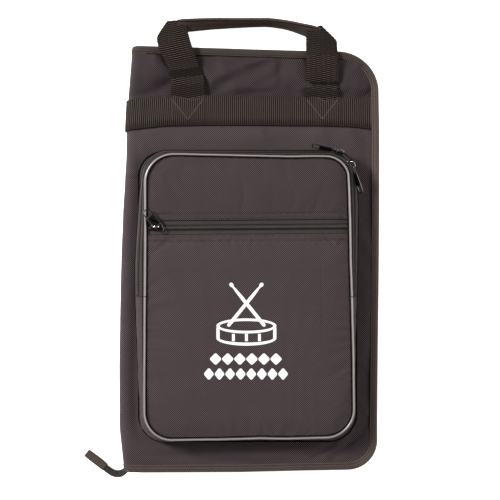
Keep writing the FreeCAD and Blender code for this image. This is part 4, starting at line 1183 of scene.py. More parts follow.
def wrinkle_wall(P, vs, amp=0.7, seed=70):
    """Softness of the gusset: folds run up it, most in the middle, none at its seams."""
    n, _, _ = ring_normals(0.4)
    w = np.sin(math.pi * np.clip(vs / 0.5, 0, 1))
    s = S_RING[:-1]
    a = 2 * math.pi * s / S_RING[-1]
    # closed noise round the loop
    cx, cy = 14 * np.cos(a), 14 * np.sin(a)
    d = np.array([amp * (perlin(cx * 1.0, cy * 1.0 + v * 0.8, seed) + 0.6 * perlin(cx * 2.7, cy * 2.7 + v * 1.5, seed + 1)) * q for v, q in zip(vs, w)])
    return P + n[None] * d[..., None]

# fold sides: columns kept below and above the fold line
def below(I): return (I < I_RIGHT) | (I >= I_LEFT)
def above(I): return (I >= I_RIGHT) & (I < I_LEFT)

vs = np.concatenate([np.linspace(0, V_TAPE, 16), np.linspace(V_TAPE, 1, 15)[1:]])
G = wrinkle_wall(wall(vs), vs)
arc_v = arclen(G[:, 40])
n_low = 15
gusset = grid("pocket_gusset_cloth", G.transpose(1, 0, 2), S_RING, arc_v, cu=True,
              keep=lambda I, J: (J < n_low) | below(I), mat="pack_cloth", thick=0.9, offset=-1.0)
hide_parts("pocket_gusset")
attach(gusset, "front_half")

# zip tapes of the pocket, between the fold line's ends
cols = np.arange(I_RIGHT, I_LEFT + 1)
def arc_of(v0, v1, n, cols=cols):
    q = np.linspace(v0, v1, n)
    return wall(q)[:, cols].transpose(1, 0, 2), S_RING[cols], arclen(wall(q)[:, 300])

P, U, V = arc_of(V_TAPE - 0.012, V_TEETH - 0.020, 7)
n0, u0, a0 = ring_normals(V_TAPE + 0.06)
P = P + n0[cols][:, None] * 0.25
lower_tape = grid("pocket_lower_zip_tape", P, U, V, mat="zip_tape", thick=0.8, offset=-1.0)
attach(lower_tape, "front_half"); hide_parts("pocket_zip_tape_gusset")

P, U, V = arc_of(V_UP, 0.985, 9)
n1, u1, a1 = ring_normals(0.85)
P = P + n1[cols][:, None] * (0.5 * np.sin(np.linspace(0, math.pi, 9)))[None, :, None]
upper_tape = grid("pocket_upper_zip_tape", P, U, V, mat="zip_tape", thick=0.8, offset=-1.0)
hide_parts("pocket_zip_tape_flap")

nz, uz, az = ring_normals(0.68)
line = wall([0.683])[0][cols] + nz[cols] * 0.2
low_t = teeth_row("pocket_lower_zip_teeth", line - uz[cols] * 0.85, uz[cols], nz[cols], 0.0, start=2, end=2)
up_t = teeth_row("pocket_upper_zip_teeth", line + uz[cols] * 0.85, -uz[cols], nz[cols], 0.5, start=2, end=2)
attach(low_t, "front_half"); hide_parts("pocket_zip_teeth_gusset")
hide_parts("pocket_zip_teeth_flap")
ls = stitches("pocket_lower_tape_stitches", wall([V_TAPE + 0.03])[0][cols] + n0[cols] * 0.55, n0[cols], pitch=3.2, length=2.4, r=0.25, lift=0.05)
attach(ls, "front_half")

# ---------------------------------------------------------------- piping
def tube(name, P, r, mat, seg=12, closed=False, keep=None, nrm=None, uvname=True, wob=0.0):
    n = len(P)
    T = (np.roll(P, -1, 0) - np.roll(P, 1, 0)) if closed else np.gradient(P, axis=0)
    Nn = nrm if nrm is not None else np.tile([0, 0, 1.0], (n, 1))
    F = frames(T, Nn)
    t = np.arange(seg) * 2 * math.pi / seg
    rr = r * (1 + wob * perlin(arclen(P) / 9.0, 0.6, 77))[:, None, None] if wob else r
    Q = P[:, None] + rr * (np.cos(t)[None, :, None] * F[:, None, :, 1] + np.sin(t)[None, :, None] * F[:, None, :, 2])
    o = grid(name, Q, None if not closed else arclen(np.vstack([P, P[:1]])), np.arange(seg + 1) * 2 * math.pi * r / seg, cu=closed, cv=True, mat=mat)
    close_mesh(o)
    return o

# painted shade: a dark cord where the top binding's inner edge presses into the cloth
gx = np.linspace(XC + 2.0, XR - RT + 6.0, 420)
gy = YT - 9.15 - np.where(gx > XR - RT, RT - np.sqrt(np.maximum(RT ** 2 - (gx - (XR - RT)) ** 2, 0.0)), 0.0)
binding_shade_line = tube("front_binding_inner_painted_shade", warp(np.stack([gx, gy, front_height(gx, gy) + 0.05], 1)), 0.5, "thread_dark_and_painted_shade", seg=6)
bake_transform(binding_shade_line)

PIPE = TOP3 + np.array([0, 0, 1.15])
tang = np.roll(PIPE, -1, 0) - np.roll(PIPE, 1, 0)
outw = np.stack([tang[:, 1], -tang[:, 0], 0 * tang[:, 0]], 1); outw /= np.linalg.norm(outw, axis=1, keepdims=True)
s_ = S_RING[:-1]
PIPE[:, 2] += 0.35 * perlin(s_ / 40.0, 0.2, 78) + 0.12 * perlin(s_ / 13.0, 0.9, 79)
PIPE += outw * (0.45 + 0.3 * perlin(s_ / 55.0, 0.5, 80) + 0.1 * perlin(s_ / 14.0, 0.4, 81))[:, None]
# painted shade: dark cords in the crease just inside the piping
pipe_shade_path = np.concatenate([(PIPE - outw * 2.2)[:, :2], np.full((NR, 1), 62.45)], 1)
pipe_shade_upper = tube("pocket_piping_inner_painted_shade_upper", pipe_shade_path[cols], 0.55, "thread_dark_and_painted_shade", seg=6)
# painted shadow: a dark cord round the pocket's foot, where its shadow falls on the cover
d_out = np.maximum(((R_BASE - R_MID) * outw[:, :2]).sum(1), 0.0) + 1.4
R_SHADOW = R_MID + outw[:, :2] * d_out[:, None]
base_shadow_line = tube("pocket_base_painted_shadow", np.concatenate([R_SHADOW, (front_height(R_SHADOW[:, 0], R_SHADOW[:, 1]) + 0.15)[:, None]], 1), 0.8, "thread_dark_and_painted_shade", seg=6, closed=True)
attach(base_shadow_line, "front_half")
pipe_flap = tube("pocket_piping_upper_run", PIPE[cols], 1.5, "piping", wob=0.03)
below_cols = np.concatenate([np.arange(I_LEFT, NR), np.arange(0, I_RIGHT + 1)])
pipe_low = tube("pocket_piping_lower_run", PIPE[below_cols], 1.5, "piping", wob=0.03)
# painted shade: the dark cord inside the piping's lower run
pipe_shade_lower = tube("pocket_piping_inner_painted_shade_lower", pipe_shade_path[below_cols], 0.55, "thread_dark_and_painted_shade", seg=6)
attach(pipe_shade_lower, "front_half")
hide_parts("pocket_piping_flap"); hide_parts("pocket_piping_lower")
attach(pipe_low, "front_half")
# stitches along the piping's sewn flange, each side
fl_in = stitches("pocket_piping_stitches_upper", (TOP3 - outw * 2.6 + [0, 0, 1.2])[cols], np.tile([0, 0, 1.0], (len(cols), 1)), pitch=3.0, length=2.1, r=0.2, lift=0.0)
fl_lo = stitches("pocket_piping_stitches_lower", (TOP3 - outw * 2.6 + [0, 0, 1.2])[below_cols], np.tile([0, 0, 1.0], (len(below_cols), 1)), pitch=3.0, length=2.1, r=0.2, lift=0.0)
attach(fl_lo, "front_half")

# painted shade: dark cords beside the piping, along the upper tape's fold, and at the lower tape's seam, where shade
# falls
shade_up = tube("pocket_piping_outer_painted_shade_upper", wall([0.905])[0][cols] + n1[cols] * 0.45, 0.42, "thread_dark_and_painted_shade", seg=6)
shade_mid = tube("pocket_upper_tape_fold_painted_shade", wall([0.775])[0][cols] + n1[cols] * 0.62, 0.24, "thread_dark_and_painted_shade", seg=6)
shade_low = tube("pocket_lower_tape_seam_painted_shade", wall([V_TAPE - 0.008])[0][cols] + n0[cols] * 0.45, 0.42, "thread_dark_and_painted_shade", seg=6)
shade_foot = tube("pocket_piping_outer_painted_shade_lower", wall([0.915])[0][below_cols] + n1[below_cols] * 0.30, 0.42, "thread_dark_and_painted_shade", seg=6)
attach(shade_low, "front_half"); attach(shade_foot, "front_half")

# ---------------------------------------------------------------- pocket face
FR = dict(x0=-116.4, x1=112.2, y0=-200.2, y1=118.0, rbl=30.0, rbr=31.0, rtr=24.5, rtl=31.0)

def face_sides(y, ins):
    """Left and right ends of the face at y, in the plain rectangle, set in by ins."""
    x0, x1, y0, y1 = FR["x0"] + ins, FR["x1"] - ins, FR["y0"] + ins, FR["y1"] - ins
    xl, xr = np.full_like(y, x0), np.full_like(y, x1)
    for r, cy, sy, side in ((FR["rbl"], None, -1, "l"), (FR["rtl"], None, 1, "l"), (FR["rbr"], None, -1, "r"), (FR["rtr"], None, 1, "r")):
        rr = r - ins
        c = (y0 + rr) if sy < 0 else (y1 - rr)
        t = (y - c) * sy
        off = rr - np.sqrt(np.maximum(rr * rr - np.clip(t, 0, rr) ** 2, 0))
        off = np.where(t > 0, off, 0)
        if side == "l": xl = xl + off
        else: xr = xr - off
    return xl, xr

def face_distance(x, y):
    """How far inside the piping a point of the plain rectangle is."""
    cx, cy = (FR["x0"] + FR["x1"]) / 2, (FR["y0"] + FR["y1"]) / 2
    hx, hy = (FR["x1"] - FR["x0"]) / 2, (FR["y1"] - FR["y0"]) / 2
    r = np.where(x > cx, np.where(y > cy, FR["rtr"], FR["rbr"]), np.where(y > cy, FR["rtl"], FR["rbl"]))
    qx, qy = np.abs(x - cx) - hx + r, np.abs(y - cy) - hy + r
    return -(np.hypot(np.maximum(qx, 0), np.maximum(qy, 0)) + np.minimum(np.maximum(qx, qy), 0) - r)

def zip_y(x):
    return 36.9 + 0.9 * np.asarray(x, float) / 110.0

def face_height(x, y):
    d = face_distance(x, y)
    near = np.exp(-((y - 37) / 26.0) ** 2)
    z = 62.2 + 2.2 * smooth(0.8, 17, d) + 1.9 * smooth(12, 85, d) * (1 - 0.62 * near)
    return z

def upsample(P, mu, mv):
    nu, nv, k = P.shape
    A = spline_rows(P.reshape(nu, -1), mu).reshape(mu, nv, k)
    return spline_rows(A.transpose(1, 0, 2).reshape(nv, -1), mv).reshape(mv, mu, k).transpose(1, 0, 2)

def simulate(name, P, pin, pressure=3.0, shrink=-0.012, cap=3.5, steps=20, bend=0.35, tension=12.0, mass=0.18, closed=False, up=True):
    """Inflate an open sheet whose pinned points stay. P is a grid in mm; the result is the same grid, moved by at most cap."""
    nu, nv = P.shape[:2]
    f, _ = grid_faces(nu, nv, closed, False)
    o = make(name, P, f[:, ::-1] if up else f)
    vg = o.vertex_groups.new(name="pin")
    vg.add([int(i) for i in np.nonzero(pin.ravel())[0]], 1.0, "REPLACE")
    m = o.modifiers.new("c", "CLOTH")
    c = m.settings
    c.quality = 6; c.mass = mass; c.air_damping = 2.0
    c.tension_stiffness = tension; c.compression_stiffness = tension; c.shear_stiffness = tension * 0.5; c.bending_stiffness = bend
    c.tension_damping = 5; c.compression_damping = 5; c.shear_damping = 5; c.bending_damping = 0.5
    c.vertex_group_mass = "pin"
    c.use_pressure = True; c.uniform_pressure_force = pressure
    c.shrink_min = shrink; c.shrink_max = shrink
    c.effector_weights.gravity = 0.0
    m.collision_settings.use_collision = False; m.collision_settings.use_self_collision = False
    m.point_cache.frame_start = 1; m.point_cache.frame_end = steps
    sc = bpy.context.scene
    for fr in range(1, steps + 1): sc.frame_set(fr)
    dg = bpy.context.evaluated_depsgraph_get()
    ev = o.evaluated_get(dg).to_mesh()
    a = np.empty(len(ev.vertices) * 3); ev.vertices.foreach_get("co", a)
    o.evaluated_get(dg).to_mesh_clear()
    R = a.reshape(nu, nv, 3) / MM
    D = R - P
    L = np.linalg.norm(D, axis=2, keepdims=True)
    D = np.where(L > 1e-9, D / np.maximum(L, 1e-9) * cap * np.tanh(L / cap), 0)
    if not np.isfinite(D).all(): D = np.zeros_like(P)
    me = o.data
    bpy.data.objects.remove(o); bpy.data.meshes.remove(me)
    sc.frame_set(1)
    return P + D

def face_panel(name, ya, yb, coarse, fine, seed, pressure=1.7, shrink=-0.006):
    """One panel of the face between two heights on the object, in the plain rectangle, then shaped to the piping."""
    nu, nv = coarse
    t = np.linspace(0, 1, nu)
    # closer rows where the corners turn
    lowc, highc = ya < -150, yb > 100
    if lowc and not highc: t = t ** 1.35
    if highc and not lowc: t = 1 - (1 - t) ** 1.35
    rows = []
    for q in t:
        y = np.full(1, ya + (yb - ya) * q)
        xl, xr = face_sides(y, 0.55)
        x = xl[0] + (xr[0] - xl[0]) * np.linspace(0, 1, nv)
        yy = np.full(nv, y[0])
        # panel edges beside the zip follow its line
        if not highc: yy = yy + (zip_y(x) - 36.9) * smooth(ya + 20, yb, yy)
        else: yy = yy + (zip_y(x) - 36.9) * smooth(yb - 20, ya, yy)
        rows.append(np.stack([x, yy, face_height(x, yy)], 1))
    P = np.array(rows)
    pin = np.zeros((nu, nv), bool)
    pin[0] = pin[-1] = True; pin[:, 0] = pin[:, -1] = True
    S = simulate(name + "_sim", P, pin, pressure=pressure, shrink=shrink, cap=2.2)
    F = upsample(S, *fine)
    F[..., 0] = np.clip(F[..., 0], FR["x0"], FR["x1"])
    x, y = F[..., 0], F[..., 1]
    d = face_distance(x, y)
    soft = smooth(0.5, 9, d)
    ez = np.abs(y - zip_y(x)) - 8.0            # distance from the panel's edge at the zip
    zs = smooth(-0.5, 9, ez)
    # puckers run in from the piping
    ang = np.arctan2(y + 41, x + 2)
    per = np.where(np.abs(y - FR["y1"]) < 22, x, np.where(np.abs(y - FR["y0"]) < 22, x + 300, y))
    pk = perlin(per / 4.6, d / 26.0, seed) + 0.5 * perlin(per / 2.6, d / 14.0, seed + 1)
    z = F[..., 2] + 0.34 * pk * np.exp(-d / 8.0) * smooth(0, 2.5, d)
    z = z + soft * zs * (0.55 * perlin(x / 58.0, y / 47.0, seed + 2) + 0.30 * perlin(x / 24.0, y / 29.0, seed + 3) + 0.09 * perlin(x / 9.0, y / 10.0, seed + 4))
    # sewn groove of the topstitching beside the zip
    z = z - 0.45 * np.exp(-((ez - 7.2) / 1.1) ** 2) + 0.22 * np.exp(-((ez - 3.5) / 3.0) ** 2)
    z = z + 0.3 * perlin(x / 5.5, ez / 9.0, seed + 5) * np.exp(-((ez - 7.2) / 4.5) ** 2)
    # seams behind the cloth show through as faint upright lines
    for xs, h in ((79.6, 0.34), (-87.9, 0.16)):
        z = z - h * np.exp(-((x - xs) / 0.9) ** 2) * smooth(8, -10, y) * smooth(-108, -86, y)
    F[..., 2] = z
    UV = np.stack([y, x], 2)
    Q = shape_top(F.reshape(-1, 3)[:, :2]).reshape(x.shape + (2,))
    F[..., 0], F[..., 1] = Q[..., 0], Q[..., 1]
    o = grid(name, F, UV[..., 0], UV[..., 1], mat="pack_cloth", flip=True, thick=0.95, offset=-1.0)
    return o, F

low_face, LOWF = face_panel("pocket_face_lower", FR["y0"] + 0.55, 28.9, (72, 76), (360, 300), 90)
up_face, UPF = face_panel("pocket_face_upper", 44.9, FR["y1"] - 0.55, (26, 76), (130, 300), 97, 1.0, -0.003)
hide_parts("flap_lower_panel", "pocket_lower_panel"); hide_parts("flap_upper_panel")
swap(up_face, "pack_cloth_flap")

def strip_along_zip(name, y_off0, y_off1, z_off, mat, n=6, thick=0.7, dome=0.0, x0=-115.6, x1=111.8):
    xs = np.linspace(x0, x1, 300); vs = np.linspace(y_off0, y_off1, n)
    X = np.repeat(xs[:, None], n, 1); Y = zip_y(xs)[:, None] + vs[None]
    Z = face_height(X, Y) + z_off + dome * np.sin(np.pi * np.linspace(0, 1, n))[None] + 0.12 * perlin(X / 14.0, Y / 7.0, 101)
    P = np.stack([X, Y, Z], 2)
    Q = shape_top(P.reshape(-1, 3)[:, :2]).reshape(X.shape + (2,)); P[..., 0], P[..., 1] = Q[..., 0], Q[..., 1]
    return grid(name, P, xs - x0, vs, mat=mat, thick=thick, offset=-1.0), P

lt, _ = strip_along_zip("flat_zip_lower_tape", -13.0, -0.9, -1.25, "zip_tape")
ut, _ = strip_along_zip("flat_zip_upper_tape", 0.9, 13.0, -1.25, "zip_tape")
xs = np.linspace(-114.8, 111.0, 300)
def zip_line(off, dz):
    P = np.stack([xs, zip_y(xs) + off, face_height(xs, zip_y(xs)) + dz], 1)
    Q = shape_top(P[:, :2]); P[:, :2] = Q
    return P
yv = np.tile([0, 1.0, 0], (len(xs), 1)); zv = np.tile([0, 0, 1.0], (len(xs), 1))
tl_ = teeth_row("flat_zip_lower_teeth", zip_line(-0.85, -0.25), yv, zv, 0.0, start=1.5, end=1.5)
tu_ = teeth_row("flat_zip_upper_teeth", zip_line(0.85, -0.25), -yv, zv, 0.5, start=1.5, end=1.5)
zs_ = [lt, ut, tl_, tu_]
# painted shade: dark strips on the tapes, by the coil and where they go in under the cloth's folded edges
for k, (a0, a1, dz) in enumerate(((-8.5, -7.45, -1.05), (-3.1, -2.35, -1.05), (2.35, 3.1, -1.05), (7.45, 8.5, -1.05))):
    g, _ = strip_along_zip("flat_zip_tape_line_%d" % k, a0, a1, dz, "thread_dark_and_painted_shade", n=3, thick=0.3)
    zs_.append(g)
for k, off in enumerate((-4.0, 4.0)):
    zs_.append(stitches("flat_zip_tape_stitches_%d" % k, zip_line(off, -1.20), zv, pitch=3.0, length=2.2, r=0.2, lift=0.04))
for o, nd, sl in ((lt, "flat_zip_tape_lower", "zip_tape"), (ut, "flat_zip_tape_upper", "zip_tape"), (tl_, "flat_zip_teeth_lower", "zip_teeth"), (tu_, "flat_zip_teeth_upper", "zip_teeth")):
    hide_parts(nd)

fs = Surface(low_face, up_face)
face_rows = []
for k, yo in enumerate((-15.2, 15.2)):
    P, N = fs.line([(-112.6, 36.9 + yo - 0.9), (0, 36.9 + yo), (109.0, 36.9 + yo + 0.9)], step=1.5)
    face_rows.append(stitches("flat_zip_topstitch_%d" % k, P, N, pitch=3.1, length=2.3, r=0.27, lift=0.08))
for k, yo in enumerate((-9.9, 9.9)):
    P, N = fs.line([(-113.2, 36.9 + yo - 0.9), (0, 36.9 + yo), (109.6, 36.9 + yo + 0.9)], step=1.5)
    face_rows.append(stitches("flat_zip_edge_stitch_%d" % k, P, N, pitch=3.1, length=2.3, r=0.24, lift=0.06))

# lining under the flap
rows = []
for y in np.linspace(-40, 115.5, 110):
    xl, xr = face_sides(np.array([y]), 2.2)
    x = np.linspace(xl[0], xr[0], 120)
    rows.append(np.stack([x, np.full_like(x, y), face_height(x, np.full_like(x, y)) - 2.6 + 0.35 * perlin(x / 30.0, y / 26.0, 104) - 1.0 * smooth(8, 0, np.abs(y - 37))], 1))
P = np.array(rows)
Q = shape_top(P.reshape(-1, 3)[:, :2]).reshape(P.shape[:2] + (2,)); P[..., 0], P[..., 1] = Q[..., 0], Q[..., 1]
flap_in = grid("flap_lining_cloth", P, mat="lining_cloth", thick=0.5, offset=-1.0, flip=False)
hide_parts("flap_lining")

for o in [low_face, up_face, flap_in, upper_tape, up_t, pipe_flap, fl_in, shade_up, shade_mid, pipe_shade_upper] + zs_ + face_rows:
    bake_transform(o)

# ---------------------------------------------------------------- printed emblem: crossed sticks over a plain drum, and plain bars
def decal(name, polys, surf, lift=0.10, thick=0.06, step=1.1):
    """Flat shapes cut into small triangles and laid on the cloth."""
    bm = bmesh.new()
    for poly in polys:
        outer = poly[0]; holes = poly[1:]
        edges = []
        for loop in [outer] + list(holes):
            vs = [bm.verts.new((p[0] * MM, p[1] * MM, 0)) for p in loop]
            edges += [bm.edges.new((vs[i], vs[(i + 1) % len(vs)])) for i in range(len(vs))]
        bmesh.ops.triangle_fill(bm, edges=edges, use_beauty=True)
    # cut along a grid so that it can follow the cloth
    xs = [v.co.x for v in bm.verts]; ys = [v.co.y for v in bm.verts]
    x = min(xs) + 0.0021
    while x < max(xs):
        g = bm.verts[:] + bm.edges[:] + bm.faces[:]
        bmesh.ops.bisect_plane(bm, geom=g, plane_co=(x, 0, 0), plane_no=(1, 0, 0)); x += 0.0031
    y = min(ys) + 0.0021
    while y < max(ys):
        g = bm.verts[:] + bm.edges[:] + bm.faces[:]
        bmesh.ops.bisect_plane(bm, geom=g, plane_co=(0, y, 0), plane_no=(0, 1, 0)); y += 0.0031
    for v in bm.verts:
        h = surf.drop(v.co.x / MM, v.co.y / MM)
        v.co.z = ((h[0] if h else 66.0) + lift) * MM
    bmesh.ops.recalc_face_normals(bm, faces=bm.faces)
    for f in bm.faces:
        if f.normal.z < 0: f.normal_flip()
        f.smooth = True
    me = bpy.data.meshes.new(name); bm.to_mesh(me); bm.free()
    o = bpy.data.objects.new(name, me); bpy.context.scene.collection.objects.link(o)
    me.materials.append(MATS["print_ink"])
    o = thicken(o, thick, -1.0)
    bm = bmesh.new(); bm.from_mesh(o.data)
    for e in bm.edges:
        if len(e.link_faces) == 2 and e.calc_face_angle(0) > math.radians(50): e.smooth = False
    bm.to_mesh(o.data); bm.free()
    return o

def rot(pts, deg, c):
    a = math.radians(deg)
    return [(c[0] + x * math.cos(a) - y * math.sin(a), c[1] + x * math.sin(a) + y * math.cos(a)) for x, y in pts]

def stick_shape(L, w0, w1, bead):
    """A drumstick: butt at the left, taper, neck and oval tip."""
    up = [(0, w0), (L * 0.66, w0), (L * 0.86, w1), (L * 0.905, w1 * 0.72)]
    tip = [(L * 0.93 + bead * (1 - math.cos(a)) * 1.15, bead * 0.95 * math.sin(a)) for a in np.linspace(0.65, math.pi, 9)][:-1]
    top = up + tip
    butt = [(-w0 * math.sin(a), w0 * math.cos(a)) for a in np.linspace(math.pi, 0, 7)][1:-1]
    low = [(x, -y) for x, y in reversed(top)]
    end = [(L * 0.93 + bead * 2.3, 0)]
    return top + end + low + butt

def ellipse(cx, cy, rx, ry, n=56, a0=0.0, a1=2 * math.pi):
    return [(cx + rx * math.cos(a), cy + ry * math.sin(a)) for a in np.linspace(a0, a1, n, endpoint=abs(a1 - a0) < 6.28)]

def band_shape(outer, inner):
    return [outer, list(reversed(inner))]

EX, EY = -4.0, -59.7
sticks = []
for dg, sg in ((51, 1), (129, -1)):
    sticks.append([rot([(x - 31, y * sg) for x, y in stick_shape(59, 1.95, 1.4, 2.3)], dg, (EX, EY + 11.6))])
# drum: head ring, its wall and foot, and two lugs
hy = EY - 13.5
head = band_shape(ellipse(EX, hy, 33.4, 8.4), ellipse(EX, hy, 29.8, 5.4))
wallp = ellipse(EX, hy - 13.6, 33.4, 8.4, 30, math.pi, 2 * math.pi)
wall_in = ellipse(EX, hy - 13.6, 29.8, 4.9, 30, math.pi, 2 * math.pi)
body_l = [(EX - 33.4, hy - 1.6)] + wallp + [(EX + 33.4, hy - 1.6), (EX + 29.8, hy - 4.4)] + list(reversed(wall_in)) + [(EX - 29.8, hy - 4.4)]
lugs = [[[(EX + x - 1.6, hy - 8.8), (EX + x - 1.6, hy - 17.0), (EX + x + 1.6, hy - 17.0), (EX + x + 1.6, hy - 8.8)]] for x in (-14.5, 0.0, 14.5)]
shapes = sticks + [head, [body_l]] + lugs
# two rows of plain lozenges
bars = []
def lozenges(x0, x1, y0, y1, n, w):
    p = (x1 - x0 - w) / (n - 1); ym = (y0 + y1) / 2; c = 0.9
    for i in range(n):
        a = x0 + i * p; b = a + w; m = (a + b) / 2
        bars.append([[(m - c, y1), (a, ym + c), (a, ym - c), (m - c, y0), (m + c, y0), (b, ym - c), (b, ym + c), (m + c, y1)]])
lozenges(-44.4, 35.1, -116.2, -103.9, 6, 12.2)
lozenges(-51.0, 42.0, -132.9, -120.6, 8, 10.4)
fsl = Surface(low_face)
emb = decal("printed_emblem", shapes, fsl)
brs = decal("printed_bars", bars, fsl)
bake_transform(emb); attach(brs, "front_half")

# ---------------------------------------------------------------- sliders and pulls
def outline_normals(p):
    t = np.roll(p, -1, 0) - np.roll(p, 1, 0)
    n = np.stack([t[:, 1], -t[:, 0]], 1)
    return n / np.linalg.norm(n, axis=1, keepdims=True)

def puck(outline, levels):
    """Closed solid from one outline: (inset, z) levels, foot to top."""
    p = np.array(outline, float); n = outline_normals(p); k = len(p)
    co, f = [], []
    for ins, z in levels:
        q = p - n * ins
        co += [(a[0], a[1], z) for a in q]
    for i in range(len(levels) - 1):
        for j in range(k):
            f.append([i * k + j, i * k + (j + 1) % k, (i + 1) * k + (j + 1) % k, (i + 1) * k + j])
    return co, f, [list(range(k))[::-1], [(len(levels) - 1) * k + j for j in range(k)]]

def rounded(pts, n=96):
    """Closed smooth outline through a polygon's points."""
    P = np.array(pts, float)
    E = np.vstack([P[-1], P, P[0], P[1]])
    out = []
    for q in np.linspace(0, len(P), n, endpoint=False):
        i = int(q); f = q - i
        p0, p1, p2, p3 = E[i], E[i + 1], E[i + 2], E[(i + 3) if i + 3 < len(E) else len(E) - 1]
        out.append(0.5 * ((2 * p1) + (-p0 + p2) * f + (2 * p0 - 5 * p1 + 4 * p2 - p3) * f * f + (-p0 + 3 * p1 - 3 * p2 + p3) * f ** 3))
    return out

def round_rect(x0, x1, y0, y1, r, n=7):
    rr = r if isinstance(r, (list, tuple)) else (r, r, r, r)
    out = []
    for (cx, cy, a0, q) in ((x1 - rr[1], y0 + rr[1], 270, rr[1]), (x1 - rr[2], y1 - rr[2], 0, rr[2]), (x0 + rr[3], y1 - rr[3], 90, rr[3]), (x0 + rr[0], y0 + rr[0], 180, rr[0])):
        for i in range(n):
            a = math.radians(a0 + 90 * i / (n - 1))
            out.append((cx + q * math.cos(a), cy + q * math.sin(a)))
    return out

def tube_local(path, ry, rz, closed, seg=12, up=(0, 0, 1), sq=2.6):
    """Rounded section swept along a local path. Returns co, quads, end loops."""
    P = np.array(path, float); n = len(P)
    T = (np.roll(P, -1, 0) - np.roll(P, 1, 0)) if closed else np.gradient(P, axis=0)
    F = frames(T, np.tile(up, (n, 1)))
    co, f = [], []
    for i in range(n):
        for j in range(seg):
            a = 2 * math.pi * j / seg
            c, s = math.cos(a), math.sin(a)
            y = ry * math.copysign(abs(c) ** (2 / sq), c); z = rz * math.copysign(abs(s) ** (2 / sq), s)
            co.append(P[i] + F[i][:, 1] * y + F[i][:, 2] * z)
    m = n if closed else n - 1
    for i in range(m):
        for j in range(seg):
            a, b = i * seg, ((i + 1) % n) * seg
            f.append([a + j, b + j, b + (j + 1) % seg, a + (j + 1) % seg])
    caps = [] if closed else [list(range(seg)), [(n - 1) * seg + j for j in range(seg)][::-1]]
    return co, f, caps

def dense(path, step=0.35, closed=False):
    P = np.array(path, float)
    if closed: P = np.vstack([P, P[:1]])
    s = arclen(P); k = max(4, int(s[-1] / step))
    q = np.linspace(0, s[-1], k, endpoint=not closed)
    return np.stack([np.interp(q, s, P[:, i]) for i in range(3)], 1)

def assemble(name, parts, origin, u, v, mat_of, tilt=0.0):
    """parts: (co, quads, caps, material index)."""
    u, v = np.array(u, float), np.array(v, float)
    w = np.cross(u, v)
    a = math.radians(tilt)
    v2 = v * math.cos(a) + w * math.sin(a); w2 = np.cross(u, v2)
    M = np.stack([u, v2, w2], 1)
    me = bpy.data.meshes.new(name)
    bm = bmesh.new()
    for co, quads, caps, mi in parts:
        vs = [bm.verts.new(tuple((M @ np.array(c, float) + np.array(origin)) * MM)) for c in co]
        for q in list(quads) + list(caps):
            try:
                f = bm.faces.new([vs[i] for i in q]); f.material_index = mi; f.smooth = True
            except ValueError: pass
    bmesh.ops.recalc_face_normals(bm, faces=bm.faces)
    # wide flat caps stay sharp: split by angle through custom smoothing on edges
    for e in bm.edges:
        if len(e.link_faces) == 2 and e.calc_face_angle(0) > math.radians(38): e.smooth = False
    bm.to_mesh(me); bm.free()
    for m in mat_of: me.materials.append(MATS[m])
    o = bpy.data.objects.new(name, me); bpy.context.scene.collection.objects.link(o)
    return o

def slider_parts(hb=5.1):
    body = rounded([(-6.4, 0), (-6.0, -2.0), (-4.4, -3.5), (-1.5, -4.1), (2.5, -4.4), (5.6, -4.3), (6.4, -3.4), (6.5, 0), (6.4, 3.4), (5.6, 4.3), (2.5, 4.4), (-1.5, 4.1), (-4.4, 3.5), (-6.0, 2.0)], 84)
    parts = []
    co, f, caps = puck(body, [(0.9, -1.5), (0.35, -1.35), (0.0, -0.95), (0.0, 0.75), (0.12, 1.10), (0.45, 1.38), (0.95, 1.50), (1.5, 1.52)])
    parts.append((co, f, caps, 0))
    # raised middle rib with the bridge's feet
    rib = round_rect(-5.0, 5.2, -1.5, 1.5, 1.2)
    co, f, caps = puck(rib, [(0.0, 1.35), (0.0, 1.75), (0.25, 2.0), (0.6, 2.08), (0.9, 2.09)])
    parts.append((co, f, caps, 0))
    g = (hb - 1.3) / 3.8
    arch = [(x, 0, 1.3 + (z - 1.3) * g) for x, z in ((-3.75, 1.3), (-3.7, 2.6), (-3.4, 3.7), (-2.7, 4.5), (-1.5, 4.95), (0, 5.1), (1.5, 4.95), (2.7, 4.5), (3.4, 3.7), (3.7, 2.6), (3.75, 1.3))]
    co, f, caps = tube_local(dense(arch, 0.3), 1.05, 0.48, False, 12, up=(0, 1, 0))
    # section: wide across the zip, thin outwards
    co, f, caps = tube_local(dense(arch, 0.3), 0.48, 1.05, False, 12, up=(0, 1, 0))
    parts.append((co, f, caps, 1))
    return parts

def pull_parts(x0):
    """Wire frame with a flat plate let into its middle. x runs out from the bar."""
    parts = []
    half = [(x0 + 0.6, -1.5), (x0 + 0.9, -2.1), (x0 + 1.6, -2.6), (x0 + 4.2, -3.35), (x0 + 7.4, -4.15), (x0 + 8.6, -4.25), (x0 + 27.4, -4.25)]
    half += [(x0 + 27.4 + 3.0 * math.sin(a), -1.25 - 3.0 * math.cos(a)) for a in np.linspace(0.2, math.pi / 2, 7)]
    loop = half + [(x, -y) for x, y in reversed(half)]
    co, f, caps = tube_local(dense([(x, y, 0) for x, y in loop], 0.4, True), 0.58, 0.66, True, 12)
    parts.append((co, f, caps, 0))
    plate = round_rect(x0 + 8.8, x0 + 21.6, -3.95, 3.95, 0.5)
    co, f, caps = puck(plate, [(0.35, -0.50), (0.0, -0.32), (0.0, 0.32), (0.35, 0.50), (0.9, 0.46), (1.3, 0.34), (1.9, 0.33)])
    parts.append((co, f, caps, 1))
    for x in (x0 + 8.3, x0 + 22.0):
        co, f, caps = tube_local(dense([(x, -4.1, 0), (x, 4.1, 0)], 0.5), 0.55, 0.62, False, 12)
        parts.append((co, f, caps, 0))
    return parts

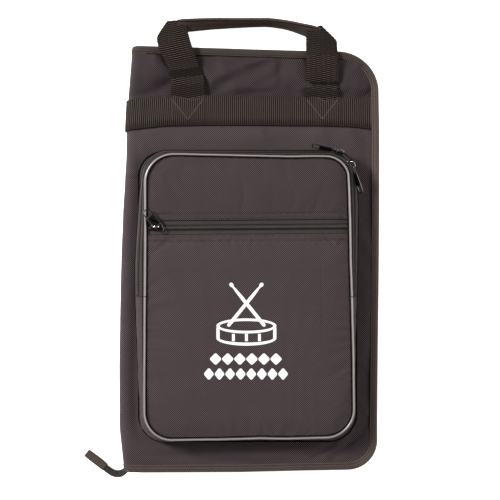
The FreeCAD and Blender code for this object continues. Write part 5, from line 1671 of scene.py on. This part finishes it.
solid_mat("pull_plate", (0.004, 0.004, 0.0045), rough=0.22, spec=0.16, coat=0.10, coat_rough=0.05, bump_mm=0.003, var=0.1, rough_var=0.04)

BARS = {}
for jn, j in frame["joints"].items() if isinstance(frame["joints"], dict) else [(j.get("name"), j) for j in frame["joints"]]:
    BARS[jn] = j

def lifted(point, normal, deg):
    a = math.radians(deg)
    return np.array(point) * math.cos(a) + np.array(normal) * math.sin(a)

def turned(v, deg):
    a = math.radians(deg)
    return np.array([v[0] * math.cos(a) - v[1] * math.sin(a), v[0] * math.sin(a) + v[1] * math.cos(a), v[2]])

ENDS = {
    # name: along, across, pull's lie, lift, tilt of the body, bar, body, pull's near end
    "main_upper": ((0, 1, 0), (0, 0, 1), (0, 1, 0), 0.0, 0.0, (XR + 0.7, 97.0, ZMID), (XR - 1.4, 97.0, ZMID), -0.7),
    "main_lower": ((0, 1, 0), (0, 0, 1), (0, -1, 0), 0.0, 0.0, (XR + 0.7, 81.0, ZMID), (XR - 1.4, 81.0, ZMID), -0.7),
    "pocket_top": (turned((-1, 0, 0), -19), (0, 0, 1), (-0.972, 0.237, 0), 0.0, -26.0, (98.8, 121.6, 56.2), (101.0, 119.2, 54.6), -0.7),
    "pocket_side": (turned((0, 1, 0), 25), (0, 0, 1), (0.34, -0.94, 0), 0.0, -26.0, (114.8, 103.8, 56.2), (113.2, 106.2, 54.6), -0.7),
    "flat": ((1, 0, 0), (0, 1, 0), (-0.647, 0.762, 0), 3.0, 0.0, (-102.6, 38.6, 68.6), (-104.4, 37.2, 64.9), -8.4),
}
for nm, (al, ac, pt, lift, tilt, bar_c, org, x0) in ENDS.items():
    n = np.cross(al, ac)
    bar_c = np.array(bar_c, float)
    org = bar_c - n * 3.0 if org is None else np.array(org, float)
    s = assemble(nm + "_slider_cast", slider_parts(3.5 if nm.startswith("main") else 5.1), org, al, ac, ["slider_metal", "slider_bail"], tilt)
    pt = np.array(pt, float); pt = pt / np.linalg.norm(pt)
    pn = n - pt * np.dot(n, pt); pn = pn / np.linalg.norm(pn)
    d = lifted(pt, pn, lift)
    w = np.cross(pn, pt)
    if nm.startswith("pocket"): w = w * math.cos(0.45) - pn * math.sin(0.45) * (1 if nm == "pocket_side" else -1)
    p = assemble(nm + "_pull_frame", pull_parts(x0), bar_c, d, w, ["pull_metal", "pull_plate"])
    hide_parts(nm + "_slider"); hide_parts(nm + "_pull")
    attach(s, nm + "_slider"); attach(p, nm + "_pull")

# ---------------------------------------------------------------- zip's tail at the foot of the spine
def tail():
    C = [(-137.5, -236.2, 12.6), (-143.0, -241.6, 11.6), (-149.5, -245.6, 10.2), (-157.0, -245.4, 8.6), (-164.0, -241.4, 7.0), (-171.0, -235.8, 5.2)]
    W = [4.0, 4.2, 4.3, 4.2, 4.0, 3.8]
    TW = [62, 46, 30, 22, 20, 20]          # how far the tape leans on its edge, degrees
    K = spline_rows([c + (w, t) for c, w, t in zip(C, W, TW)], 110)
    s = arclen(K[:, :3])
    T = np.gradient(K[:, :3], axis=0); T /= np.linalg.norm(T, axis=1, keepdims=True)
    side = np.cross([0, 0, 1.0], T); side /= np.linalg.norm(side, axis=1, keepdims=True)
    nrm = np.cross(T, side)
    a = np.radians(K[:, 4])[:, None]
    A = side * np.cos(a) + nrm * np.sin(a)
    B = np.cross(T, A)
    vs = np.linspace(-1, 1, 13)
    P = K[:, None, :3] + A[:, None] * (vs[None, :, None] * K[:, 3][:, None, None]) + B[:, None] * (0.5 * (1 - vs ** 2))[None, :, None]
    P[..., 2] = np.maximum(P[..., 2], 1.0)
    o = grid("zip_tail_tape", P, s, (vs + 1) * 4, mat="zip_tape", thick=1.3, offset=-1.0)
    line = K[:, :3] + B * 0.85
    t1 = teeth_row("zip_tail_teeth_a", line - A * 0.6, A, B, 0.0, start=1, end=1)
    t2 = teeth_row("zip_tail_teeth_b", line + A * 0.6, -A, B, 0.5, start=1, end=1)
    # sewn tab over the tape's end
    C2 = [(-167.0, -239.0, 6.2), (-172.5, -234.6, 5.0), (-179.5, -229.4, 3.9), (-186.0, -224.6, 3.0), (-188.6, -222.6, 2.7)]
    W2 = [4.6, 4.9, 5.0, 4.9, 4.6]
    K2 = spline_rows([c + (w,) for c, w in zip(C2, W2)], 70)
    T2 = np.gradient(K2[:, :3], axis=0); T2 /= np.linalg.norm(T2, axis=1, keepdims=True)
    S2 = np.cross([0, 0, 1.0], T2); S2 /= np.linalg.norm(S2, axis=1, keepdims=True)
    N2 = np.cross(T2, S2)
    c20, s20 = math.cos(math.radians(18)), math.sin(math.radians(18))
    A2, B2 = S2 * c20 + N2 * s20, N2 * c20 - S2 * s20
    prof = [(-1, -0.9), (-0.98, 0.9), (-0.90, 1.35), (-0.5, 1.5), (0, 1.55), (0.5, 1.5), (0.90, 1.35), (0.98, 0.9), (1, -0.9), (0.92, -1.3), (0, -1.45), (-0.92, -1.3)]
    Q = K2[:, None, :3] + A2[:, None] * (np.array([p[0] for p in prof])[None, :, None] * K2[:, 3][:, None, None]) + B2[:, None] * (np.array([p[1] for p in prof])[None, :, None])
    f, (I, J, I2, J2) = grid_faces(len(K2), len(prof), False, True)
    U = arclen(K2[:, :3]); V = arclen(np.vstack([np.array(prof) * [4.8, 1], [np.array(prof[0]) * [4.8, 1]]]))
    uv = np.stack([np.stack([U[I], V[J]], 1), np.stack([U[I2], V[J]], 1), np.stack([U[I2], V[J2]], 1), np.stack([U[I], V[J2]], 1)], 1)
    tab = make("zip_tail_end_tab", Q.reshape(-1, 3), f, uv, "binding")
    close_mesh(tab)
    q = []
    for v in (-0.72, 0.72):
        q.append(stitches("zip_tail_tab_stitches_%s" % ("a" if v < 0 else "b"), K2[4:-4, :3] + A2[4:-4] * (v * K2[4:-4, 3:]) + B2[4:-4] * 1.45, B2[4:-4], pitch=2.6, length=1.9, r=0.22, lift=0.05))
    for x in [o, t1, t2, tab] + q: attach(x, "spine")
    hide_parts("zip_tail_tapes"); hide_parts("zip_tail_tab")
tail()

# ---------------------------------------------------------------- inside: five stick sleeves in the back half
(SX0, SY0, _), (SX1, SY1, SZ1) = nbox("stick_sleeve_panel")
NCH = 5
def sleeves():
    nu, per = 190, 22
    ys = np.linspace(SY0, SY1, nu)
    xs = np.linspace(SX0 + 1.0, SX1 - 1.0, NCH * per + 1)
    c = (np.arange(NCH * per + 1) % per) / per
    c[-1] = 1.0
    arch = np.abs(np.sin(math.pi * c)) ** 0.62
    X, Y = np.meshgrid(xs, ys)
    # sleeves stand open at the mouth and lie flatter to the foot
    mouth = 0.55 + 0.45 * smooth(SY0, SY1 - 30, Y)
    foot = smooth(SY0, SY0 + 26, Y)
    Z = 5.7 + (SZ1 - 6.4) * arch[None] * mouth * foot
    Z = Z + arch[None] * foot * (0.9 * perlin(X / 33.0, Y / 46.0, 120) + 0.5 * perlin(X / 14.0, Y / 30.0, 121) - 0.4)
    P = np.stack([X, Y, np.maximum(Z, 5.6)], 2)
    V = arclen(P[nu // 2])
    o = grid("stick_sleeves_cloth", P, ys - SY0, V, mat="lining_cloth", thick=0.7, offset=-1.0, flip=True)
    # binding along the mouth, following the arches
    M = P[-1]
    M2 = resample(M, 0.9)[0]
    m = tube("stick_sleeves_mouth_binding", M2 + np.array([0, 0.6, 0.2]), 1.6, "binding", seg=10, nrm=np.tile([0, 1.0, 0], (len(M2), 1)))
    rows = []
    sl = Surface(o)
    for i in range(NCH + 1):
        x = SX0 + 1.0 + (SX1 - SX0 - 2.0) * i / NCH
        yy = np.linspace(SY0 + 2, SY1 - 3, 160)
        L = np.stack([np.full_like(yy, x), yy, np.full_like(yy, 5.9)], 1)
        rows.append(stitches("stick_sleeves_seam_%d" % i, L, np.tile([0, 0, 1.0], (len(yy), 1)), pitch=3.2, length=2.4, r=0.28, lift=0.0))
    for q in [o, m] + rows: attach(q, "back_half")
    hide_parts("stick_sleeve_panel", "stick_sleeve_gussets"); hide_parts("stick_sleeve_top_binding")
    return o
sleeves()

(DX0, DY0, DZ0), (DX1, DY1, DZ1) = nbox("inner_pocket_panel")
def document_pocket():
    nu, nv = 150, 130
    ys = np.linspace(DY0, DY1 + 1.5, nu); xs = np.linspace(DX0, DX1, nv)
    X, Y = np.meshgrid(xs, ys)
    ex = np.minimum(X - DX0, DX1 - X); ey = Y - DY0
    puff = smooth(0, 30, ex) * smooth(0, 40, ey)
    # hangs below the front lining, which is its ceiling while the bag is shut
    Z = 30.1 - 2.6 * puff - 1.4 * puff * smooth(DY1 - 60, DY1, Y) + 0.7 * puff * perlin(X / 44.0, Y / 38.0, 130) + 0.3 * puff * perlin(X / 16.0, Y / 19.0, 131)
    P = np.stack([X, Y, Z], 2)
    o = grid("document_pocket_cloth", P, ys - DY0, xs - DX0, mat="lining_cloth", thick=0.7, offset=-1.0, flip=False)
    M = P[-1]
    m = tube("document_pocket_binding", M + np.array([0, 0.6, 0.0]), 1.5, "binding", seg=10, nrm=np.tile([0, 1.0, 0], (nv, 1)))
    path = [(DX0 + 3, DY1 - 2), (DX0 + 3, DY0 + 3), (DX1 - 3, DY0 + 3), (DX1 - 3, DY1 - 2)]
    path = dense([(a, b, 0) for a, b in path], 2.0)
    sd = Surface(o, up=-1.0)
    L, N = [], []
    for a in path:
        h = sd.drop(a[0], a[1])
        if h: L.append((a[0], a[1], h[0])); N.append(h[1])
    r = stitches("document_pocket_stitches", np.array(L), np.array(N), pitch=3.2, length=2.4, r=0.26, lift=0.06)
    for q in (o, m, r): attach(q, "front_half")
    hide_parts("inner_pocket_panel", "inner_pocket_seams"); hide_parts("inner_pocket_top_binding")
document_pocket()

# ---------------------------------------------------------------- floor, light, camera
m, nt, b = node_mat("floor_white")
b.inputs["Base Color"].default_value = (0.9, 0.9, 0.9, 1); b.inputs["Roughness"].default_value = 0.9
b.inputs["Specular IOR Level"].default_value = 0.1
b.inputs["Emission Color"].default_value = (1, 1, 1, 1); b.inputs["Emission Strength"].default_value = 0.86
me = bpy.data.meshes.new("studio_floor")
me.from_pydata([(-4, -4, 0), (4, -4, 0), (4, 4, 0), (-4, 4, 0)], [], [(0, 1, 2, 3)])
floor = bpy.data.objects.new("studio_floor", me); bpy.context.scene.collection.objects.link(floor)
me.materials.append(m); floor.location.z = -0.0080   # clear of the spine, which bulges a little when it lies down
floor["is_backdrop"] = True

def area(name, loc, target, size, power, color=(1, 1, 1)):
    l = bpy.data.lights.new(name, "AREA"); l.shape = "SQUARE"; l.size = size; l.energy = power; l.color = color
    o = bpy.data.objects.new(name, l); bpy.context.scene.collection.objects.link(o)
    o.location = loc
    o.rotation_euler = (Vector(target) - Vector(loc)).to_track_quat("-Z", "Y").to_euler()
    return o

area("key", (-1.8, 0.93, 1.66), (0, -0.03, 0.03), 0.63, 99.0)
area("fill", (1.42, 0.20, 1.26), (0, 0, 0.03), 1.0, 18.0)
w = bpy.data.worlds.new("studio"); bpy.context.scene.world = w; w.use_nodes = True
w.node_tree.nodes["Background"].inputs[0].default_value = (1, 1, 1, 1)
w.node_tree.nodes["Background"].inputs[1].default_value = 0.26

cd = bpy.data.cameras.new("camera"); cam = bpy.data.objects.new("camera", cd)
bpy.context.scene.collection.objects.link(cam)
D = 1.8
cd.sensor_width = 36.0; cd.lens = 36.0 * D / 0.567; cd.clip_start = 0.05; cd.clip_end = 20
cam.location = (0, 0.01134, 0.036 + D); cam.rotation_euler = (0, 0, 0)
bpy.context.scene.camera = cam
bpy.context.scene.view_settings.view_transform = "Standard"
bpy.context.scene.view_settings.look = "None"
bpy.context.scene.view_settings.exposure = 0.0
bpy.context.scene.view_settings.gamma = 1.0

lo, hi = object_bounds()
print("box of the frame", CAD_BOX, "and of the visual model", list(lo), list(hi))
